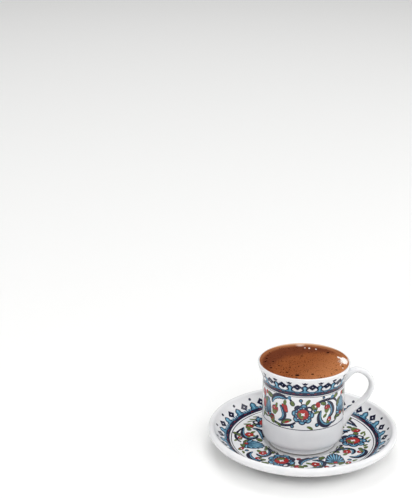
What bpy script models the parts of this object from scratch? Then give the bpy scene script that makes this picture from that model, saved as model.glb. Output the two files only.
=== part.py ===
# Turkish coffee in a small porcelain cup, standing on its saucer.
# Metres, +Z up. The origin is the centre of the saucer's base and the cup's handle points along +X.
# Profiles are listed in millimetres, as radius from the axis and height.

import math

import bmesh
import bpy

MM = 0.001

# Roundness of the turned forms and of the curves in their profiles
TURN_STEPS = 60
LIP_STEPS = 8
CURVE_STEPS = 5
SHORT_CURVE_STEPS = 3
MERGE_DISTANCE = 0.00001

# Space left between pieces that touch on the real object
TOUCH_GAP = 0.3

# Saucer, heights above the table
SAUCER_RADIUS = 62.5
SAUCER_LIP_RADIUS = 2.1
SAUCER_LIP_HEIGHT = 14.4
SAUCER_LIP_START = 165
SAUCER_LIP_END = -15
SAUCER_WELL = (24.0, 5.2)
SAUCER_WELL_EDGE = (25.4, 5.7)
SAUCER_FLAT_END = (44.0, 6.2)
SAUCER_WALL_LEAD = (50.0, 6.5)
SAUCER_WALL_ARRIVE = (57.9, 11.6)
SAUCER_UNDER_LIP_LEAD = (62.1, 12.4)
SAUCER_UNDER_LIP_ARRIVE = (61.1, 11.3)
SAUCER_UNDER_LIP = (60.0, 10.6)
SAUCER_BACK_LEAD = (55.6, 8.0)
SAUCER_BACK_ARRIVE = (48.0, 2.8)
SAUCER_BACK_END = (41.0, 2.5)

# Foot ring under the saucer
RING_OUTER_RADIUS = 37.6
RING_WIDTH = 3.0
RING_EDGE = 0.4
RING_FLARE = 0.7
RING_HEIGHT = 2.3
RING_INSIDE_HEIGHT = 2.0

# Cup, heights above its own foot
CUP_BODY_RADIUS = 26.8
CUP_WALL = 2.2
CUP_LIP_RADIUS = 1.15
CUP_LIP_CENTRE = (28.95, 56.2)
CUP_LIP_START = 180
CUP_LIP_END = -10
CUP_FLARE_HEIGHT = 44.5
CUP_FLARE_LEAD = (29.5, 52.0)
CUP_FLARE_ARRIVE_HEIGHT = 49.6
CUP_INNER_FLARE_HEIGHT = 43.5
CUP_INNER_FLARE_LEAD_HEIGHT = 48.5
CUP_INNER_FLARE_ARRIVE = (26.7, 51.8)
CUP_FLOOR = (15.0, 4.6)
CUP_CORNER_LEAD_RADIUS = 21.5
CUP_CORNER_ARRIVE_HEIGHT = 7.0
CUP_CORNER_HEIGHT = 14.0
CUP_SHOULDER_HEIGHT = 9.5
CUP_SHOULDER_LEAD_HEIGHT = 6.6
CUP_SHOULDER_ARRIVE = (26.2, 4.9)
CUP_BODY_EDGE = (24.3, 4.5)

# Foot of the cup
FOOT_TOP = (23.1, 4.1)
FOOT_SIDE_END = (22.4, 0.8)
FOOT_FLAT_OUTER_RADIUS = 21.7
FOOT_FLAT_INNER_RADIUS = 19.7
FOOT_RECESS = (18.9, 1.6)

# Handle, as stations along its middle line: radius from the cup's axis, height above the cup's
# foot, half thickness and half width. Both ends run on into the wall.
HANDLE_STATIONS = (
    (24.6, 43.6, 4.8, 3.2),
    (28.4, 45.8, 3.3, 2.8),
    (31.6, 47.7, 2.3, 2.5),
    (35.8, 48.8, 1.9, 2.4),
    (41.0, 46.6, 1.9, 2.4),
    (44.7, 42.2, 1.9, 2.4),
    (45.8, 37.2, 1.9, 2.4),
    (44.4, 32.0, 1.9, 2.4),
    (40.6, 26.8, 2.0, 2.4),
    (35.6, 22.3, 2.1, 2.4),
    (31.4, 18.8, 2.5, 2.6),
    (28.6, 15.0, 3.1, 2.9),
    (25.4, 10.6, 3.7, 3.3),
)
HANDLE_RINGS_PER_STATION = 3
HANDLE_SIDES = 14
HANDLE_TRIM_LOW = 6.0
HANDLE_TRIM_BELOW_RIM = 2.0

# Coffee, filled almost to the rim, with its edge drawn up the wall
COFFEE_BELOW_RIM = 1.0
MENISCUS_HEIGHT = 0.35
MENISCUS_WIDTH = 1.6
MENISCUS_LEAD_WIDTH = 0.6
MENISCUS_ARRIVE_WIDTH = 0.2

CUP_BASE_HEIGHT = SAUCER_WELL[1] + TOUCH_GAP
CUP_RIM_HEIGHT = CUP_LIP_CENTRE[1] + CUP_LIP_RADIUS

PORCELAIN = (0.86, 0.86, 0.87, 1.0)
PORCELAIN_ROUGHNESS = 0.12
COFFEE_FOAM = (0.27, 0.085, 0.027, 1.0)
COFFEE_FOAM_ROUGHNESS = 0.35


def clear_scene():
    for item in list(bpy.context.scene.objects):
        bpy.data.objects.remove(item, do_unlink=True)


def principled(name, colour, roughness):
    material = bpy.data.materials.new(name)
    material.use_nodes = True
    shader = material.node_tree.nodes["Principled BSDF"]
    shader.inputs["Base Color"].default_value = colour
    shader.inputs["Roughness"].default_value = roughness
    shader.inputs["Metallic"].default_value = 0.0
    return material


def bezier(start, lead, arrive, end, steps):
    """Points of a cubic curve, the first one left out."""
    points = []
    for step in range(1, steps + 1):
        t = step / steps
        s = 1.0 - t
        weights = (s ** 3, 3 * s * s * t, 3 * s * t * t, t ** 3)
        corners = (start, lead, arrive, end)
        radius = sum(weight * corner[0] for weight, corner in zip(weights, corners))
        height = sum(weight * corner[1] for weight, corner in zip(weights, corners))
        points.append((radius, height))
    return points


def arc(centre, radius, start_angle, end_angle, steps):
    """Points of a round edge, both ends kept, with angles in degrees from the outward direction."""
    points = []
    for step in range(steps + 1):
        angle = math.radians(start_angle + (end_angle - start_angle) * step / steps)
        points.append((centre[0] + radius * math.cos(angle), centre[1] + radius * math.sin(angle)))
    return points


def moved_off_wall(points, distance):
    """Move an inner profile, drawn from the axis outwards, off its wall by a distance."""
    moved = []
    for index, (radius, height) in enumerate(points):
        before = points[max(index - 1, 0)]
        after = points[min(index + 1, len(points) - 1)]
        along = (after[0] - before[0], after[1] - before[1])
        length = math.hypot(*along)
        moved.append((radius - distance * along[1] / length, height + distance * along[0] / length))
    return moved


def turned(name, profile, base_height, material):
    """Turn a profile, listed from the top of the axis down its outer side, round the Z axis."""
    mesh = bpy.data.meshes.new(name)
    outline = bmesh.new()
    corners = []
    for radius, height in profile:
        corners.append(outline.verts.new((radius * MM, 0.0, (base_height + height) * MM)))
    for first, second in zip(corners, corners[1:]):
        outline.edges.new((first, second))
    outline.to_mesh(mesh)
    outline.free()
    mesh.materials.append(material)
    item = bpy.data.objects.new(name, mesh)
    bpy.context.scene.collection.objects.link(item)
    screw = item.modifiers.new("Turn", "SCREW")
    screw.axis = "Z"
    screw.angle = math.tau
    screw.steps = TURN_STEPS
    screw.render_steps = TURN_STEPS
    screw.use_merge_vertices = True
    screw.merge_threshold = MERGE_DISTANCE
    screw.use_smooth_shade = True
    return item


def saucer_profile():
    lip_centre = (SAUCER_RADIUS - SAUCER_LIP_RADIUS, SAUCER_LIP_HEIGHT)
    lip = arc(lip_centre, SAUCER_LIP_RADIUS, SAUCER_LIP_START, SAUCER_LIP_END, LIP_STEPS)
    wall = bezier(SAUCER_FLAT_END, SAUCER_WALL_LEAD, SAUCER_WALL_ARRIVE, lip[0], CURVE_STEPS + 1)
    points = [(0.0, SAUCER_WELL[1]), SAUCER_WELL, SAUCER_WELL_EDGE, SAUCER_FLAT_END]
    points += wall[:-1]
    points += lip
    points += bezier(lip[-1], SAUCER_UNDER_LIP_LEAD, SAUCER_UNDER_LIP_ARRIVE, SAUCER_UNDER_LIP,
                     SHORT_CURVE_STEPS)
    points += bezier(SAUCER_UNDER_LIP, SAUCER_BACK_LEAD, SAUCER_BACK_ARRIVE, SAUCER_BACK_END, CURVE_STEPS)
    ring_inner_radius = RING_OUTER_RADIUS - RING_WIDTH
    points.append((RING_OUTER_RADIUS + RING_FLARE, RING_HEIGHT))
    points.append((RING_OUTER_RADIUS, RING_EDGE))
    points.append((RING_OUTER_RADIUS - RING_EDGE, 0.0))
    points.append((ring_inner_radius + RING_EDGE, 0.0))
    points.append((ring_inner_radius, RING_EDGE))
    points.append((ring_inner_radius - RING_FLARE, RING_INSIDE_HEIGHT))
    points.append((0.0, RING_INSIDE_HEIGHT))
    return points


def cup_inside():
    """The hollow of the cup, from the middle of its floor up to the lip."""
    wall = CUP_BODY_RADIUS - CUP_WALL
    corner_lead = (CUP_CORNER_LEAD_RADIUS, CUP_FLOOR[1])
    corner_arrive = (wall, CUP_CORNER_ARRIVE_HEIGHT)
    corner_end = (wall, CUP_CORNER_HEIGHT)
    flare_start = (wall, CUP_INNER_FLARE_HEIGHT)
    flare_lead = (wall, CUP_INNER_FLARE_LEAD_HEIGHT)
    lip_inner = (CUP_LIP_CENTRE[0] - CUP_LIP_RADIUS, CUP_LIP_CENTRE[1])
    points = [(0.0, CUP_FLOOR[1]), CUP_FLOOR]
    points += bezier(CUP_FLOOR, corner_lead, corner_arrive, corner_end, CURVE_STEPS - 1)
    points.append(flare_start)
    points += bezier(flare_start, flare_lead, CUP_INNER_FLARE_ARRIVE, lip_inner, CURVE_STEPS)
    return points


def cup_profile():
    lip = arc(CUP_LIP_CENTRE, CUP_LIP_RADIUS, CUP_LIP_START, CUP_LIP_END, LIP_STEPS - 1)
    flare_arrive = (CUP_BODY_RADIUS, CUP_FLARE_ARRIVE_HEIGHT)
    flare_end = (CUP_BODY_RADIUS, CUP_FLARE_HEIGHT)
    shoulder = (CUP_BODY_RADIUS, CUP_SHOULDER_HEIGHT)
    shoulder_lead = (CUP_BODY_RADIUS, CUP_SHOULDER_LEAD_HEIGHT)
    points = cup_inside()[:-1]
    points += lip
    points += bezier(lip[-1], CUP_FLARE_LEAD, flare_arrive, flare_end, CURVE_STEPS)
    points.append(shoulder)
    points += bezier(shoulder, shoulder_lead, CUP_SHOULDER_ARRIVE, CUP_BODY_EDGE, CURVE_STEPS - 1)
    points.append(FOOT_TOP)
    points.append(FOOT_SIDE_END)
    points.append((FOOT_FLAT_OUTER_RADIUS, 0.0))
    points.append((FOOT_FLAT_INNER_RADIUS, 0.0))
    points.append(FOOT_RECESS)
    points.append((0.0, FOOT_RECESS[1]))
    return points


def coffee_profile():
    """The drink, standing clear of the cup by the touching gap."""
    level = CUP_RIM_HEIGHT - COFFEE_BELOW_RIM
    wetted = moved_off_wall(cup_inside(), TOUCH_GAP)
    edge_radius = wetted[-1][0]
    edge = (edge_radius, level + MENISCUS_HEIGHT)
    meniscus_start = (edge_radius - MENISCUS_WIDTH, level)
    meniscus_lead = (edge_radius - MENISCUS_LEAD_WIDTH, level)
    meniscus_arrive = (edge_radius - MENISCUS_ARRIVE_WIDTH, level)
    points = [(0.0, level), meniscus_start]
    points += bezier(meniscus_start, meniscus_lead, meniscus_arrive, edge, SHORT_CURVE_STEPS)
    points += wetted[-2::-1]
    return points


def station_at(position):
    """A point of the smooth line through the handle's stations, at a position counted in stations."""
    last = len(HANDLE_STATIONS) - 1
    index = min(int(position), last - 1)
    t = position - index
    around = [HANDLE_STATIONS[min(max(index + step, 0), last)] for step in (-1, 0, 1, 2)]
    values = []
    for a, b, c, d in zip(*around):
        linear = (c - a) * t
        square = (2 * a - 5 * b + 4 * c - d) * t ** 2
        cube = (3 * b - a - 3 * c + d) * t ** 3
        values.append(0.5 * (2 * b + linear + square + cube))
    return values


def handle_rings():
    """Oval rings across the handle, one after another from its upper end to its lower end."""
    count = (len(HANDLE_STATIONS) - 1) * HANDLE_RINGS_PER_STATION
    line = [station_at(ring / HANDLE_RINGS_PER_STATION) for ring in range(count + 1)]
    rings = []
    for index, (radius, height, half_thickness, half_width) in enumerate(line):
        before = line[max(index - 1, 0)]
        after = line[min(index + 1, count)]
        along = (after[0] - before[0], after[1] - before[1])
        length = math.hypot(*along)
        across = (-along[1] / length, along[0] / length)
        ring = []
        for side in range(HANDLE_SIDES):
            angle = math.tau * side / HANDLE_SIDES
            reach = half_thickness * math.cos(angle)
            x = radius + across[0] * reach
            y = half_width * math.sin(angle)
            z = CUP_BASE_HEIGHT + height + across[1] * reach
            ring.append((x * MM, y * MM, z * MM))
        rings.append(ring)
    return rings


def handle_form(material):
    """The handle swept along its stations, closed at both ends."""
    mesh = bpy.data.meshes.new("handle_form")
    form = bmesh.new()
    rings = [[form.verts.new(point) for point in ring] for ring in handle_rings()]
    for first, second in zip(rings, rings[1:]):
        for side in range(HANDLE_SIDES):
            following = (side + 1) % HANDLE_SIDES
            form.faces.new((first[side], first[following], second[following], second[side]))
    form.faces.new(rings[0])
    form.faces.new(rings[-1])
    bmesh.ops.recalc_face_normals(form, faces=form.faces)
    for face in form.faces:
        face.smooth = True
    form.to_mesh(mesh)
    form.free()
    mesh.materials.append(material)
    item = bpy.data.objects.new("handle_form", mesh)
    bpy.context.scene.collection.objects.link(item)
    return item


def hide_guide(item):
    item.hide_render = True
    item.display_type = "WIRE"


def add_boolean(item, operation, other):
    boolean = item.modifiers.new(operation.title(), "BOOLEAN")
    boolean.operation = operation
    boolean.solver = "EXACT"
    boolean.object = other


def build_cup(material):
    """The turned cup with its handle, whose ends are trimmed off in the middle of the wall."""
    cup = turned("cup", cup_profile(), CUP_BASE_HEIGHT, material)
    middle_of_wall = CUP_BODY_RADIUS - CUP_WALL / 2
    trim_top = CUP_RIM_HEIGHT - HANDLE_TRIM_BELOW_RIM
    trim_profile = [(0.0, trim_top), (middle_of_wall, trim_top),
                    (middle_of_wall, HANDLE_TRIM_LOW), (0.0, HANDLE_TRIM_LOW)]
    trim = turned("handle_trim", trim_profile, CUP_BASE_HEIGHT, material)
    handle = handle_form(material)
    add_boolean(handle, "DIFFERENCE", trim)
    add_boolean(cup, "UNION", handle)
    hide_guide(trim)
    hide_guide(handle)


def main():
    clear_scene()
    saucer_glaze = principled("saucer_porcelain", PORCELAIN, PORCELAIN_ROUGHNESS)
    cup_glaze = principled("cup_porcelain", PORCELAIN, PORCELAIN_ROUGHNESS)
    foam = principled("coffee_foam", COFFEE_FOAM, COFFEE_FOAM_ROUGHNESS)
    turned("saucer", saucer_profile(), 0.0, saucer_glaze)
    build_cup(cup_glaze)
    turned("coffee", coffee_profile(), CUP_BASE_HEIGHT, foam)


main()
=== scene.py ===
# %% [markdown]
# # Turkish coffee in its porcelain cup, on its saucer
#
# The real thing is three pieces: a turned saucer with a thick rolled lip, a small straight cup with a
# flared rim and an ear handle, and the coffee, filled to the rim under a skin of fine foam.
# Both pieces of porcelain carry the same traditional ornament of rosettes, palmettes, tulips and
# feathery curved leaves in cobalt, turquoise, red and green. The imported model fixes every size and
# place, so this lesson only makes finer meshes in the same places and gives them their finish.

# %% Load the fixed frame
import math
import random
import bpy
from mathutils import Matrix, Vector, noise
from mathutils.geometry import delaunay_2d_cdt


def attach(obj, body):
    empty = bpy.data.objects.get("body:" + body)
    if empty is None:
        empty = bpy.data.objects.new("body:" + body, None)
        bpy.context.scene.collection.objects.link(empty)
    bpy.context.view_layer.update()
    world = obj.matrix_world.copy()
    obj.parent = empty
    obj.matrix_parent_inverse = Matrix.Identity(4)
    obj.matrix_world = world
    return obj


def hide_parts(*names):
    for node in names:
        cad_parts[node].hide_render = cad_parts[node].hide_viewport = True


MM = 0.001

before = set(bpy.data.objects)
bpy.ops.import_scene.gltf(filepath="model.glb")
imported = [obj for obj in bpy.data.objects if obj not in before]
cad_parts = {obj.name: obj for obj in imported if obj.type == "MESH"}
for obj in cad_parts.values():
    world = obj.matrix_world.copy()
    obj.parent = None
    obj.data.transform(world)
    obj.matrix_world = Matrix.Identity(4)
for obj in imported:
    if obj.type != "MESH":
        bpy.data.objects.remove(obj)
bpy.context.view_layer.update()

# %% [markdown]
# ## Camera
#
# The photograph was taken from a little above the rim with a long lens, so the ellipses of rim, foot and
# saucer are nearly alike in shape. The place, the tilt and the focal length follow from those ellipses.
# The long side of the picture is its height, 500 pixels, and Blender fits its 36 mm sensor to it.

# %% Camera
CAMERA_PLACE = (-174.4, -781.3, 413.15)
CAMERA_TILT = 71.04
CAMERA_TURN = -8.0
SENSOR_SIZE = 36.0
PHOTO_LONG_SIDE = 500.0
FOCAL_LENGTH_IN_PIXELS = 1334.0

bpy.ops.object.select_all(action="DESELECT")
bpy.ops.object.camera_add(
    location=[value * MM for value in CAMERA_PLACE],
    rotation=(math.radians(CAMERA_TILT), 0.0, math.radians(CAMERA_TURN)),
)
camera = bpy.context.object
camera.data.sensor_width = SENSOR_SIZE
camera.data.lens = SENSOR_SIZE * FOCAL_LENGTH_IN_PIXELS / PHOTO_LONG_SIDE
bpy.context.scene.camera = camera
print("lens", round(camera.data.lens, 2), "mm")

# %% [markdown]
# ## Colours and nodes
#
# Colours are written as sRGB hex values, as a paint chart gives them, and one function turns them to
# the linear values that Blender's shaders want. A second small function adds a node with its settings
# and links, so that a material reads as a short list of what it is made of.

# %% Colour and node helpers
def linear(hex_colour):
    """The linear RGBA value of an sRGB hex colour."""
    channels = []
    for start in (1, 3, 5):
        value = int(hex_colour[start:start + 2], 16) / 255
        channels.append(value / 12.92 if value <= 0.04045 else ((value + 0.055) / 1.055) ** 2.4)
    return (*channels, 1.0)


def add_node(tree, kind, inputs=None, **settings):
    """Add a node. An input is given a value, or the output of another node to link from."""
    node = tree.nodes.new(kind)
    for name, value in settings.items():
        setattr(node, name, value)
    for name, value in (inputs or {}).items():
        if isinstance(value, bpy.types.NodeSocket):
            tree.links.new(value, node.inputs[name])
        else:
            node.inputs[name].default_value = value
    return node


# sockets of the mix node that carry colours
COLOUR_A = 6
COLOUR_B = 7
COLOUR_RESULT = 2


def new_material(name):
    """An empty material with its tree, the object coordinates and the shader."""
    material = bpy.data.materials.new(name)
    material.use_nodes = True
    tree = material.node_tree
    place = add_node(tree, "ShaderNodeTexCoord").outputs["Object"]
    return material, tree, place, tree.nodes["Principled BSDF"]


def set_inputs(shader, **values):
    """Set the shader's own sockets, with underscores for the spaces in their names."""
    for name, value in values.items():
        shader.inputs[name.replace("_", " ")].default_value = value


print("white is", linear("#FFFFFF"))

# %% [markdown]
# ## Floor and light
#
# The floor is one plain white sheet, large enough to fill the view, and it isn't part of the object.
# The light is that of a product table with soft panels all round it, and an even, weak world fills the
# rest. Light from all round leaves only a close soft shadow under the saucer. No panel stands low behind
# the cup, because the flat coffee and the saucer would mirror it to the camera, and that would grey the
# dark colours. The one at the back hangs high and faces straight down, so it also keeps the floor
# behind the cup white.

# %% Floor and light
FLOOR_SIZE = 12.0
WORLD_STRENGTH = 0.18
CUP_MIDDLE = (0.0, 0.0, 0.03)
FLOOR_BEHIND = (0.15, 1.35, 0.0)
# name, place and aim in metres, size in metres, power in watts
PANELS = (
    ("right_panel", (1.35, -0.1, 0.8), CUP_MIDDLE, 1.2, 7.6),
    ("left_panel", (-1.35, -0.1, 0.8), CUP_MIDDLE, 1.2, 6.2),
    ("front_panel", (0.15, -1.45, 0.9), CUP_MIDDLE, 1.2, 8.3),
    ("front_high_panel", (0.15, -0.95, 1.4), CUP_MIDDLE, 1.2, 10.5),
    ("ceiling_panel", (0.15, 1.35, 2.4), FLOOR_BEHIND, 1.9, 34.0),
)

bpy.ops.object.select_all(action="DESELECT")
bpy.ops.mesh.primitive_plane_add(size=FLOOR_SIZE)
floor = bpy.context.object
floor.name = "floor"
material, tree, place, shader = new_material("matt_white_paper")
set_inputs(shader, Base_Color=linear("#F9F9F8"), Roughness=0.9, IOR=1.45)
floor.data.materials.append(material)

world = bpy.data.worlds.new("bright_room")
world.use_nodes = True
world.node_tree.nodes["Background"].inputs["Color"].default_value = linear("#FFFFFF")
world.node_tree.nodes["Background"].inputs["Strength"].default_value = WORLD_STRENGTH
bpy.context.scene.world = world
bpy.context.scene.view_settings.view_transform = "Standard"

for name, spot, aim, size, power in PANELS:
    bpy.ops.object.light_add(type="AREA", location=spot)
    panel = bpy.context.object
    panel.name = name
    panel.data.size = size
    panel.data.energy = power
    panel.rotation_euler = (Vector(aim) - Vector(spot)).to_track_quat("-Z", "Y").to_euler()
print("lights", [name for name, *_ in PANELS])

# %% [markdown]
# ## Outlines of turned pieces
#
# Cup and saucer are thrown on a wheel or jiggered over a mould, so each is one outline turned round an
# axis. An outline is a chain of curves and arcs between a few real sizes, listed from the top of the
# axis down the outer side and back to the axis. All lengths are in millimetres.

# %% Outline helpers
def bezier(start, lead, arrive, end, steps):
    """Points of a cubic curve, the first one left out."""
    points = []
    for step in range(1, steps + 1):
        t = step / steps
        weights = ((1 - t) ** 3, 3 * (1 - t) ** 2 * t, 3 * (1 - t) * t * t, t ** 3)
        corners = (start, lead, arrive, end)
        points.append(tuple(sum(w * c[axis] for w, c in zip(weights, corners)) for axis in (0, 1)))
    return points


def arc(centre, radius, start_angle, end_angle, steps):
    """Points of a round edge, both ends kept, with angles in degrees from the outward direction."""
    points = []
    for step in range(steps + 1):
        angle = math.radians(start_angle + (end_angle - start_angle) * step / steps)
        points.append((centre[0] + radius * math.cos(angle), centre[1] + radius * math.sin(angle)))
    return points


def straight(start, end, steps):
    """Points of a straight stretch, the first one left out."""
    return [tuple(a + (b - a) * step / steps for a, b in zip(start, end)) for step in range(1, steps + 1)]


def height_at(outline, radius):
    """The height of an outline that rises outwards, at a radius."""
    for (near, low), (far, high) in zip(outline, outline[1:]):
        if near <= radius <= far:
            return low + (high - low) * (radius - near) / (far - near)
    return outline[-1][1]


print("points of a half round", len(arc((0.0, 0.0), 1.0, 0, 180, steps=16)))

# %% [markdown]
# ## Saucer
#
# The saucer is deep, with a flat floor, a wall that curves up to a thick rolled lip, and a low foot
# ring. A shallow well in its middle keeps the cup from sliding. By hand it would be drawn as half a
# section and spun, which is quicker than lathe work with many scaled rings, and the section stays easy
# to change. The few sharp corners, at the well and the foot ring, are then rounded with a bevel.

# %% Saucer outline
SAUCER_RADIUS = 62.5
SAUCER_LIP_RADIUS = 2.1
SAUCER_LIP_HEIGHT = 14.4
SAUCER_LIP_START = 150
SAUCER_LIP_END = -15
SAUCER_WELL = (24.0, 5.2)
SAUCER_WELL_EDGE = (25.4, 5.7)
SAUCER_FLAT_END = (44.0, 6.2)
SAUCER_WALL_LEAD = (50.0, 6.5)
SAUCER_WALL_ARRIVE = (56.8, 12.3)
SAUCER_UNDER_LIP_LEAD = (62.1, 12.4)
SAUCER_UNDER_LIP_ARRIVE = (61.1, 11.3)
SAUCER_UNDER_LIP = (60.0, 10.6)
SAUCER_BACK_LEAD = (55.6, 8.0)
SAUCER_BACK_ARRIVE = (48.0, 2.8)
SAUCER_BACK_END = (41.0, 2.5)
RING_OUTER_RADIUS = 37.6
RING_WIDTH = 3.0
RING_EDGE = 0.4
RING_FLARE = 0.7
RING_HEIGHT = 2.3
RING_INSIDE_HEIGHT = 2.0

saucer_lip = arc((SAUCER_RADIUS - SAUCER_LIP_RADIUS, SAUCER_LIP_HEIGHT), SAUCER_LIP_RADIUS,
                 SAUCER_LIP_START, SAUCER_LIP_END, steps=20)
saucer_top = [(0.0, SAUCER_WELL[1]), SAUCER_WELL, SAUCER_WELL_EDGE]
saucer_top += straight(SAUCER_WELL_EDGE, SAUCER_FLAT_END, steps=8)
saucer_top += bezier(SAUCER_FLAT_END, SAUCER_WALL_LEAD, SAUCER_WALL_ARRIVE, saucer_lip[0], steps=24)
ring_inner_radius = RING_OUTER_RADIUS - RING_WIDTH
saucer_outline = saucer_top[:-1] + saucer_lip
saucer_outline += bezier(saucer_lip[-1], SAUCER_UNDER_LIP_LEAD, SAUCER_UNDER_LIP_ARRIVE,
                         SAUCER_UNDER_LIP, steps=6)
saucer_outline += bezier(SAUCER_UNDER_LIP, SAUCER_BACK_LEAD, SAUCER_BACK_ARRIVE, SAUCER_BACK_END, steps=16)
saucer_outline += [
    (RING_OUTER_RADIUS + RING_FLARE, RING_HEIGHT),
    (RING_OUTER_RADIUS, RING_EDGE),
    (RING_OUTER_RADIUS - RING_EDGE, 0.0),
    (ring_inner_radius + RING_EDGE, 0.0),
    (ring_inner_radius, RING_EDGE),
    (ring_inner_radius - RING_FLARE, RING_INSIDE_HEIGHT),
    (0.0, RING_INSIDE_HEIGHT),
]
print("saucer outline", len(saucer_outline), "points")

# %% Spin an outline
TURN_STEPS = 192
MERGE_DISTANCE = 1e-6


def close_seams():
    """Merge the doubles of the piece in edit mode, point its faces outwards and leave edit mode."""
    bpy.ops.mesh.select_all(action="SELECT")
    bpy.ops.mesh.remove_doubles(threshold=MERGE_DISTANCE)
    bpy.ops.mesh.normals_make_consistent(inside=False)
    bpy.ops.object.mode_set(mode="OBJECT")


def turned(name, outline, base):
    """Extrude a point along half a section, spin the section round the axis and close its seam."""
    places = [Vector((radius, 0.0, base + height)) * MM for radius, height in outline]
    bpy.ops.object.select_all(action="DESELECT")
    bpy.ops.mesh.primitive_plane_add(size=MM, location=places[0])
    piece = bpy.context.object
    piece.name = name
    bpy.ops.object.transform_apply(location=True, rotation=True, scale=True)
    bpy.ops.object.mode_set(mode="EDIT")
    bpy.ops.mesh.select_all(action="SELECT")
    bpy.ops.mesh.merge(type="CENTER")
    for before, after in zip(places, places[1:]):
        bpy.ops.mesh.extrude_region_move(TRANSFORM_OT_translate={"value": after - before})
    bpy.ops.mesh.select_all(action="SELECT")
    bpy.ops.mesh.spin(steps=TURN_STEPS, angle=math.tau, center=(0, 0, 0), axis=(0, 0, 1))
    close_seams()
    return piece


print("pieces are turned in", TURN_STEPS, "steps")

# %% Finish the saucer
CORNER_ROUNDING = 0.25
CORNER_SEGMENTS = 3
CORNER_ANGLE = 12.0
CREASE_ANGLE = 40.0


def pick(*pieces):
    """Select these pieces alone, and make the first one active."""
    bpy.ops.object.select_all(action="DESELECT")
    for piece in pieces:
        piece.select_set(True)
    bpy.context.view_layer.objects.active = pieces[0]


def use_modifier(piece, kind, **settings):
    """Add a modifier to a piece, set it and apply it."""
    pick(piece)
    bpy.ops.object.modifier_add(type=kind)
    modifier = piece.modifiers[-1]
    for name, value in settings.items():
        setattr(modifier, name, value)
    bpy.ops.object.modifier_apply(modifier=modifier.name)


def round_corners(piece):
    """Round the sharp corners of a turned piece."""
    use_modifier(piece, "BEVEL", width=CORNER_ROUNDING * MM, segments=CORNER_SEGMENTS,
                 limit_method="ANGLE", angle_limit=math.radians(CORNER_ANGLE))


def smooth(piece, angle):
    """Shade a piece smooth, but keep the edges that turn by more than an angle in degrees."""
    pick(piece)
    bpy.ops.object.shade_smooth_by_angle(angle=math.radians(angle))


saucer = turned("saucer_glazed", saucer_outline, 0.0)
round_corners(saucer)
smooth(saucer, CREASE_ANGLE)
print("saucer", len(saucer.data.polygons), "faces")

# %% [markdown]
# ## Cup
#
# The cup is a straight wall on a rounded shoulder and a foot, and it flares at the top into a thin
# rounded lip. It is turned in the same way. The inner side follows the outer one at the wall's
# thickness, so the porcelain is thick at the shoulder and thin at the lip, as cast ware is. The foot
# stands back under the body and is undercut below, which draws the two dark lines seen there. The lower
# line is also painted as shade on the bare ring at the foot's edge.

# %% Cup outline
CUP_BODY_RADIUS = 26.8
CUP_WALL = 2.2
CUP_LIP_RADIUS = 0.8
CUP_LIP_CENTRE = (29.3, 56.5)
CUP_LIP_START = 180
CUP_LIP_END = -10
CUP_FLARE_HEIGHT = 44.5
CUP_FLARE_LEAD = (29.5, 52.0)
CUP_FLARE_ARRIVE_HEIGHT = 49.6
CUP_INNER_FLARE_HEIGHT = 43.5
CUP_INNER_FLARE_LEAD_HEIGHT = 48.5
CUP_INNER_FLARE_ARRIVE = (26.7, 51.8)
CUP_FLOOR = (15.0, 4.6)
CUP_CORNER_LEAD_RADIUS = 21.5
CUP_CORNER_ARRIVE_HEIGHT = 7.0
CUP_CORNER_HEIGHT = 14.0
CUP_SHOULDER_HEIGHT = 9.5
CUP_SHOULDER_LEAD_HEIGHT = 6.6
CUP_SHOULDER_ARRIVE = (26.2, 4.9)
CUP_BODY_EDGE = (24.3, 4.5)
FOOT_TOP = (22.8, 4.6)
# below this point the bare ring is coloured dark as painted shade where the cup meets the saucer
FOOT_BARE_SHADED_EDGE = (22.45, 0.85)
FOOT_SIDE_END = (22.4, 0.4)
FOOT_UNDERCUT = (21.0, 0.35)
FOOT_FLAT_OUTER_RADIUS = 20.8
FOOT_FLAT_INNER_RADIUS = 19.7
FOOT_RECESS = (18.9, 1.6)
TOUCH_GAP = 0.3

cup_base = SAUCER_WELL[1] + TOUCH_GAP
inner_radius = CUP_BODY_RADIUS - CUP_WALL
cup_lip = arc(CUP_LIP_CENTRE, CUP_LIP_RADIUS, CUP_LIP_START, CUP_LIP_END, steps=16)
corner_end = (inner_radius, CUP_CORNER_HEIGHT)
inner_flare_start = (inner_radius, CUP_INNER_FLARE_HEIGHT)
cup_inside = [(0.0, CUP_FLOOR[1]), CUP_FLOOR]
cup_inside += bezier(CUP_FLOOR, (CUP_CORNER_LEAD_RADIUS, CUP_FLOOR[1]),
                     (inner_radius, CUP_CORNER_ARRIVE_HEIGHT), corner_end, steps=12)
cup_inside += straight(corner_end, inner_flare_start, steps=4)
cup_inside += bezier(inner_flare_start, (inner_radius, CUP_INNER_FLARE_LEAD_HEIGHT),
                     CUP_INNER_FLARE_ARRIVE, cup_lip[0], steps=14)
flare_end = (CUP_BODY_RADIUS, CUP_FLARE_HEIGHT)
shoulder = (CUP_BODY_RADIUS, CUP_SHOULDER_HEIGHT)
cup_outside = [cup_lip[-1]]
cup_outside += bezier(cup_lip[-1], CUP_FLARE_LEAD, (CUP_BODY_RADIUS, CUP_FLARE_ARRIVE_HEIGHT),
                      flare_end, steps=24)
cup_outside += straight(flare_end, shoulder, steps=12)
cup_outline = cup_inside[:-1] + cup_lip + cup_outside[1:]
cup_outline += bezier(shoulder, (CUP_BODY_RADIUS, CUP_SHOULDER_LEAD_HEIGHT), CUP_SHOULDER_ARRIVE,
                      CUP_BODY_EDGE, steps=10)
cup_outline += [
    FOOT_TOP,
    FOOT_BARE_SHADED_EDGE,
    FOOT_SIDE_END,
    FOOT_UNDERCUT,
    (FOOT_FLAT_OUTER_RADIUS, 0.0),
    (FOOT_FLAT_INNER_RADIUS, 0.0),
    FOOT_RECESS,
    (0.0, FOOT_RECESS[1]),
]
cup = turned("cup_glazed", cup_outline, cup_base)
round_corners(cup)
print("cup body", len(cup.data.polygons), "faces")

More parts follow.
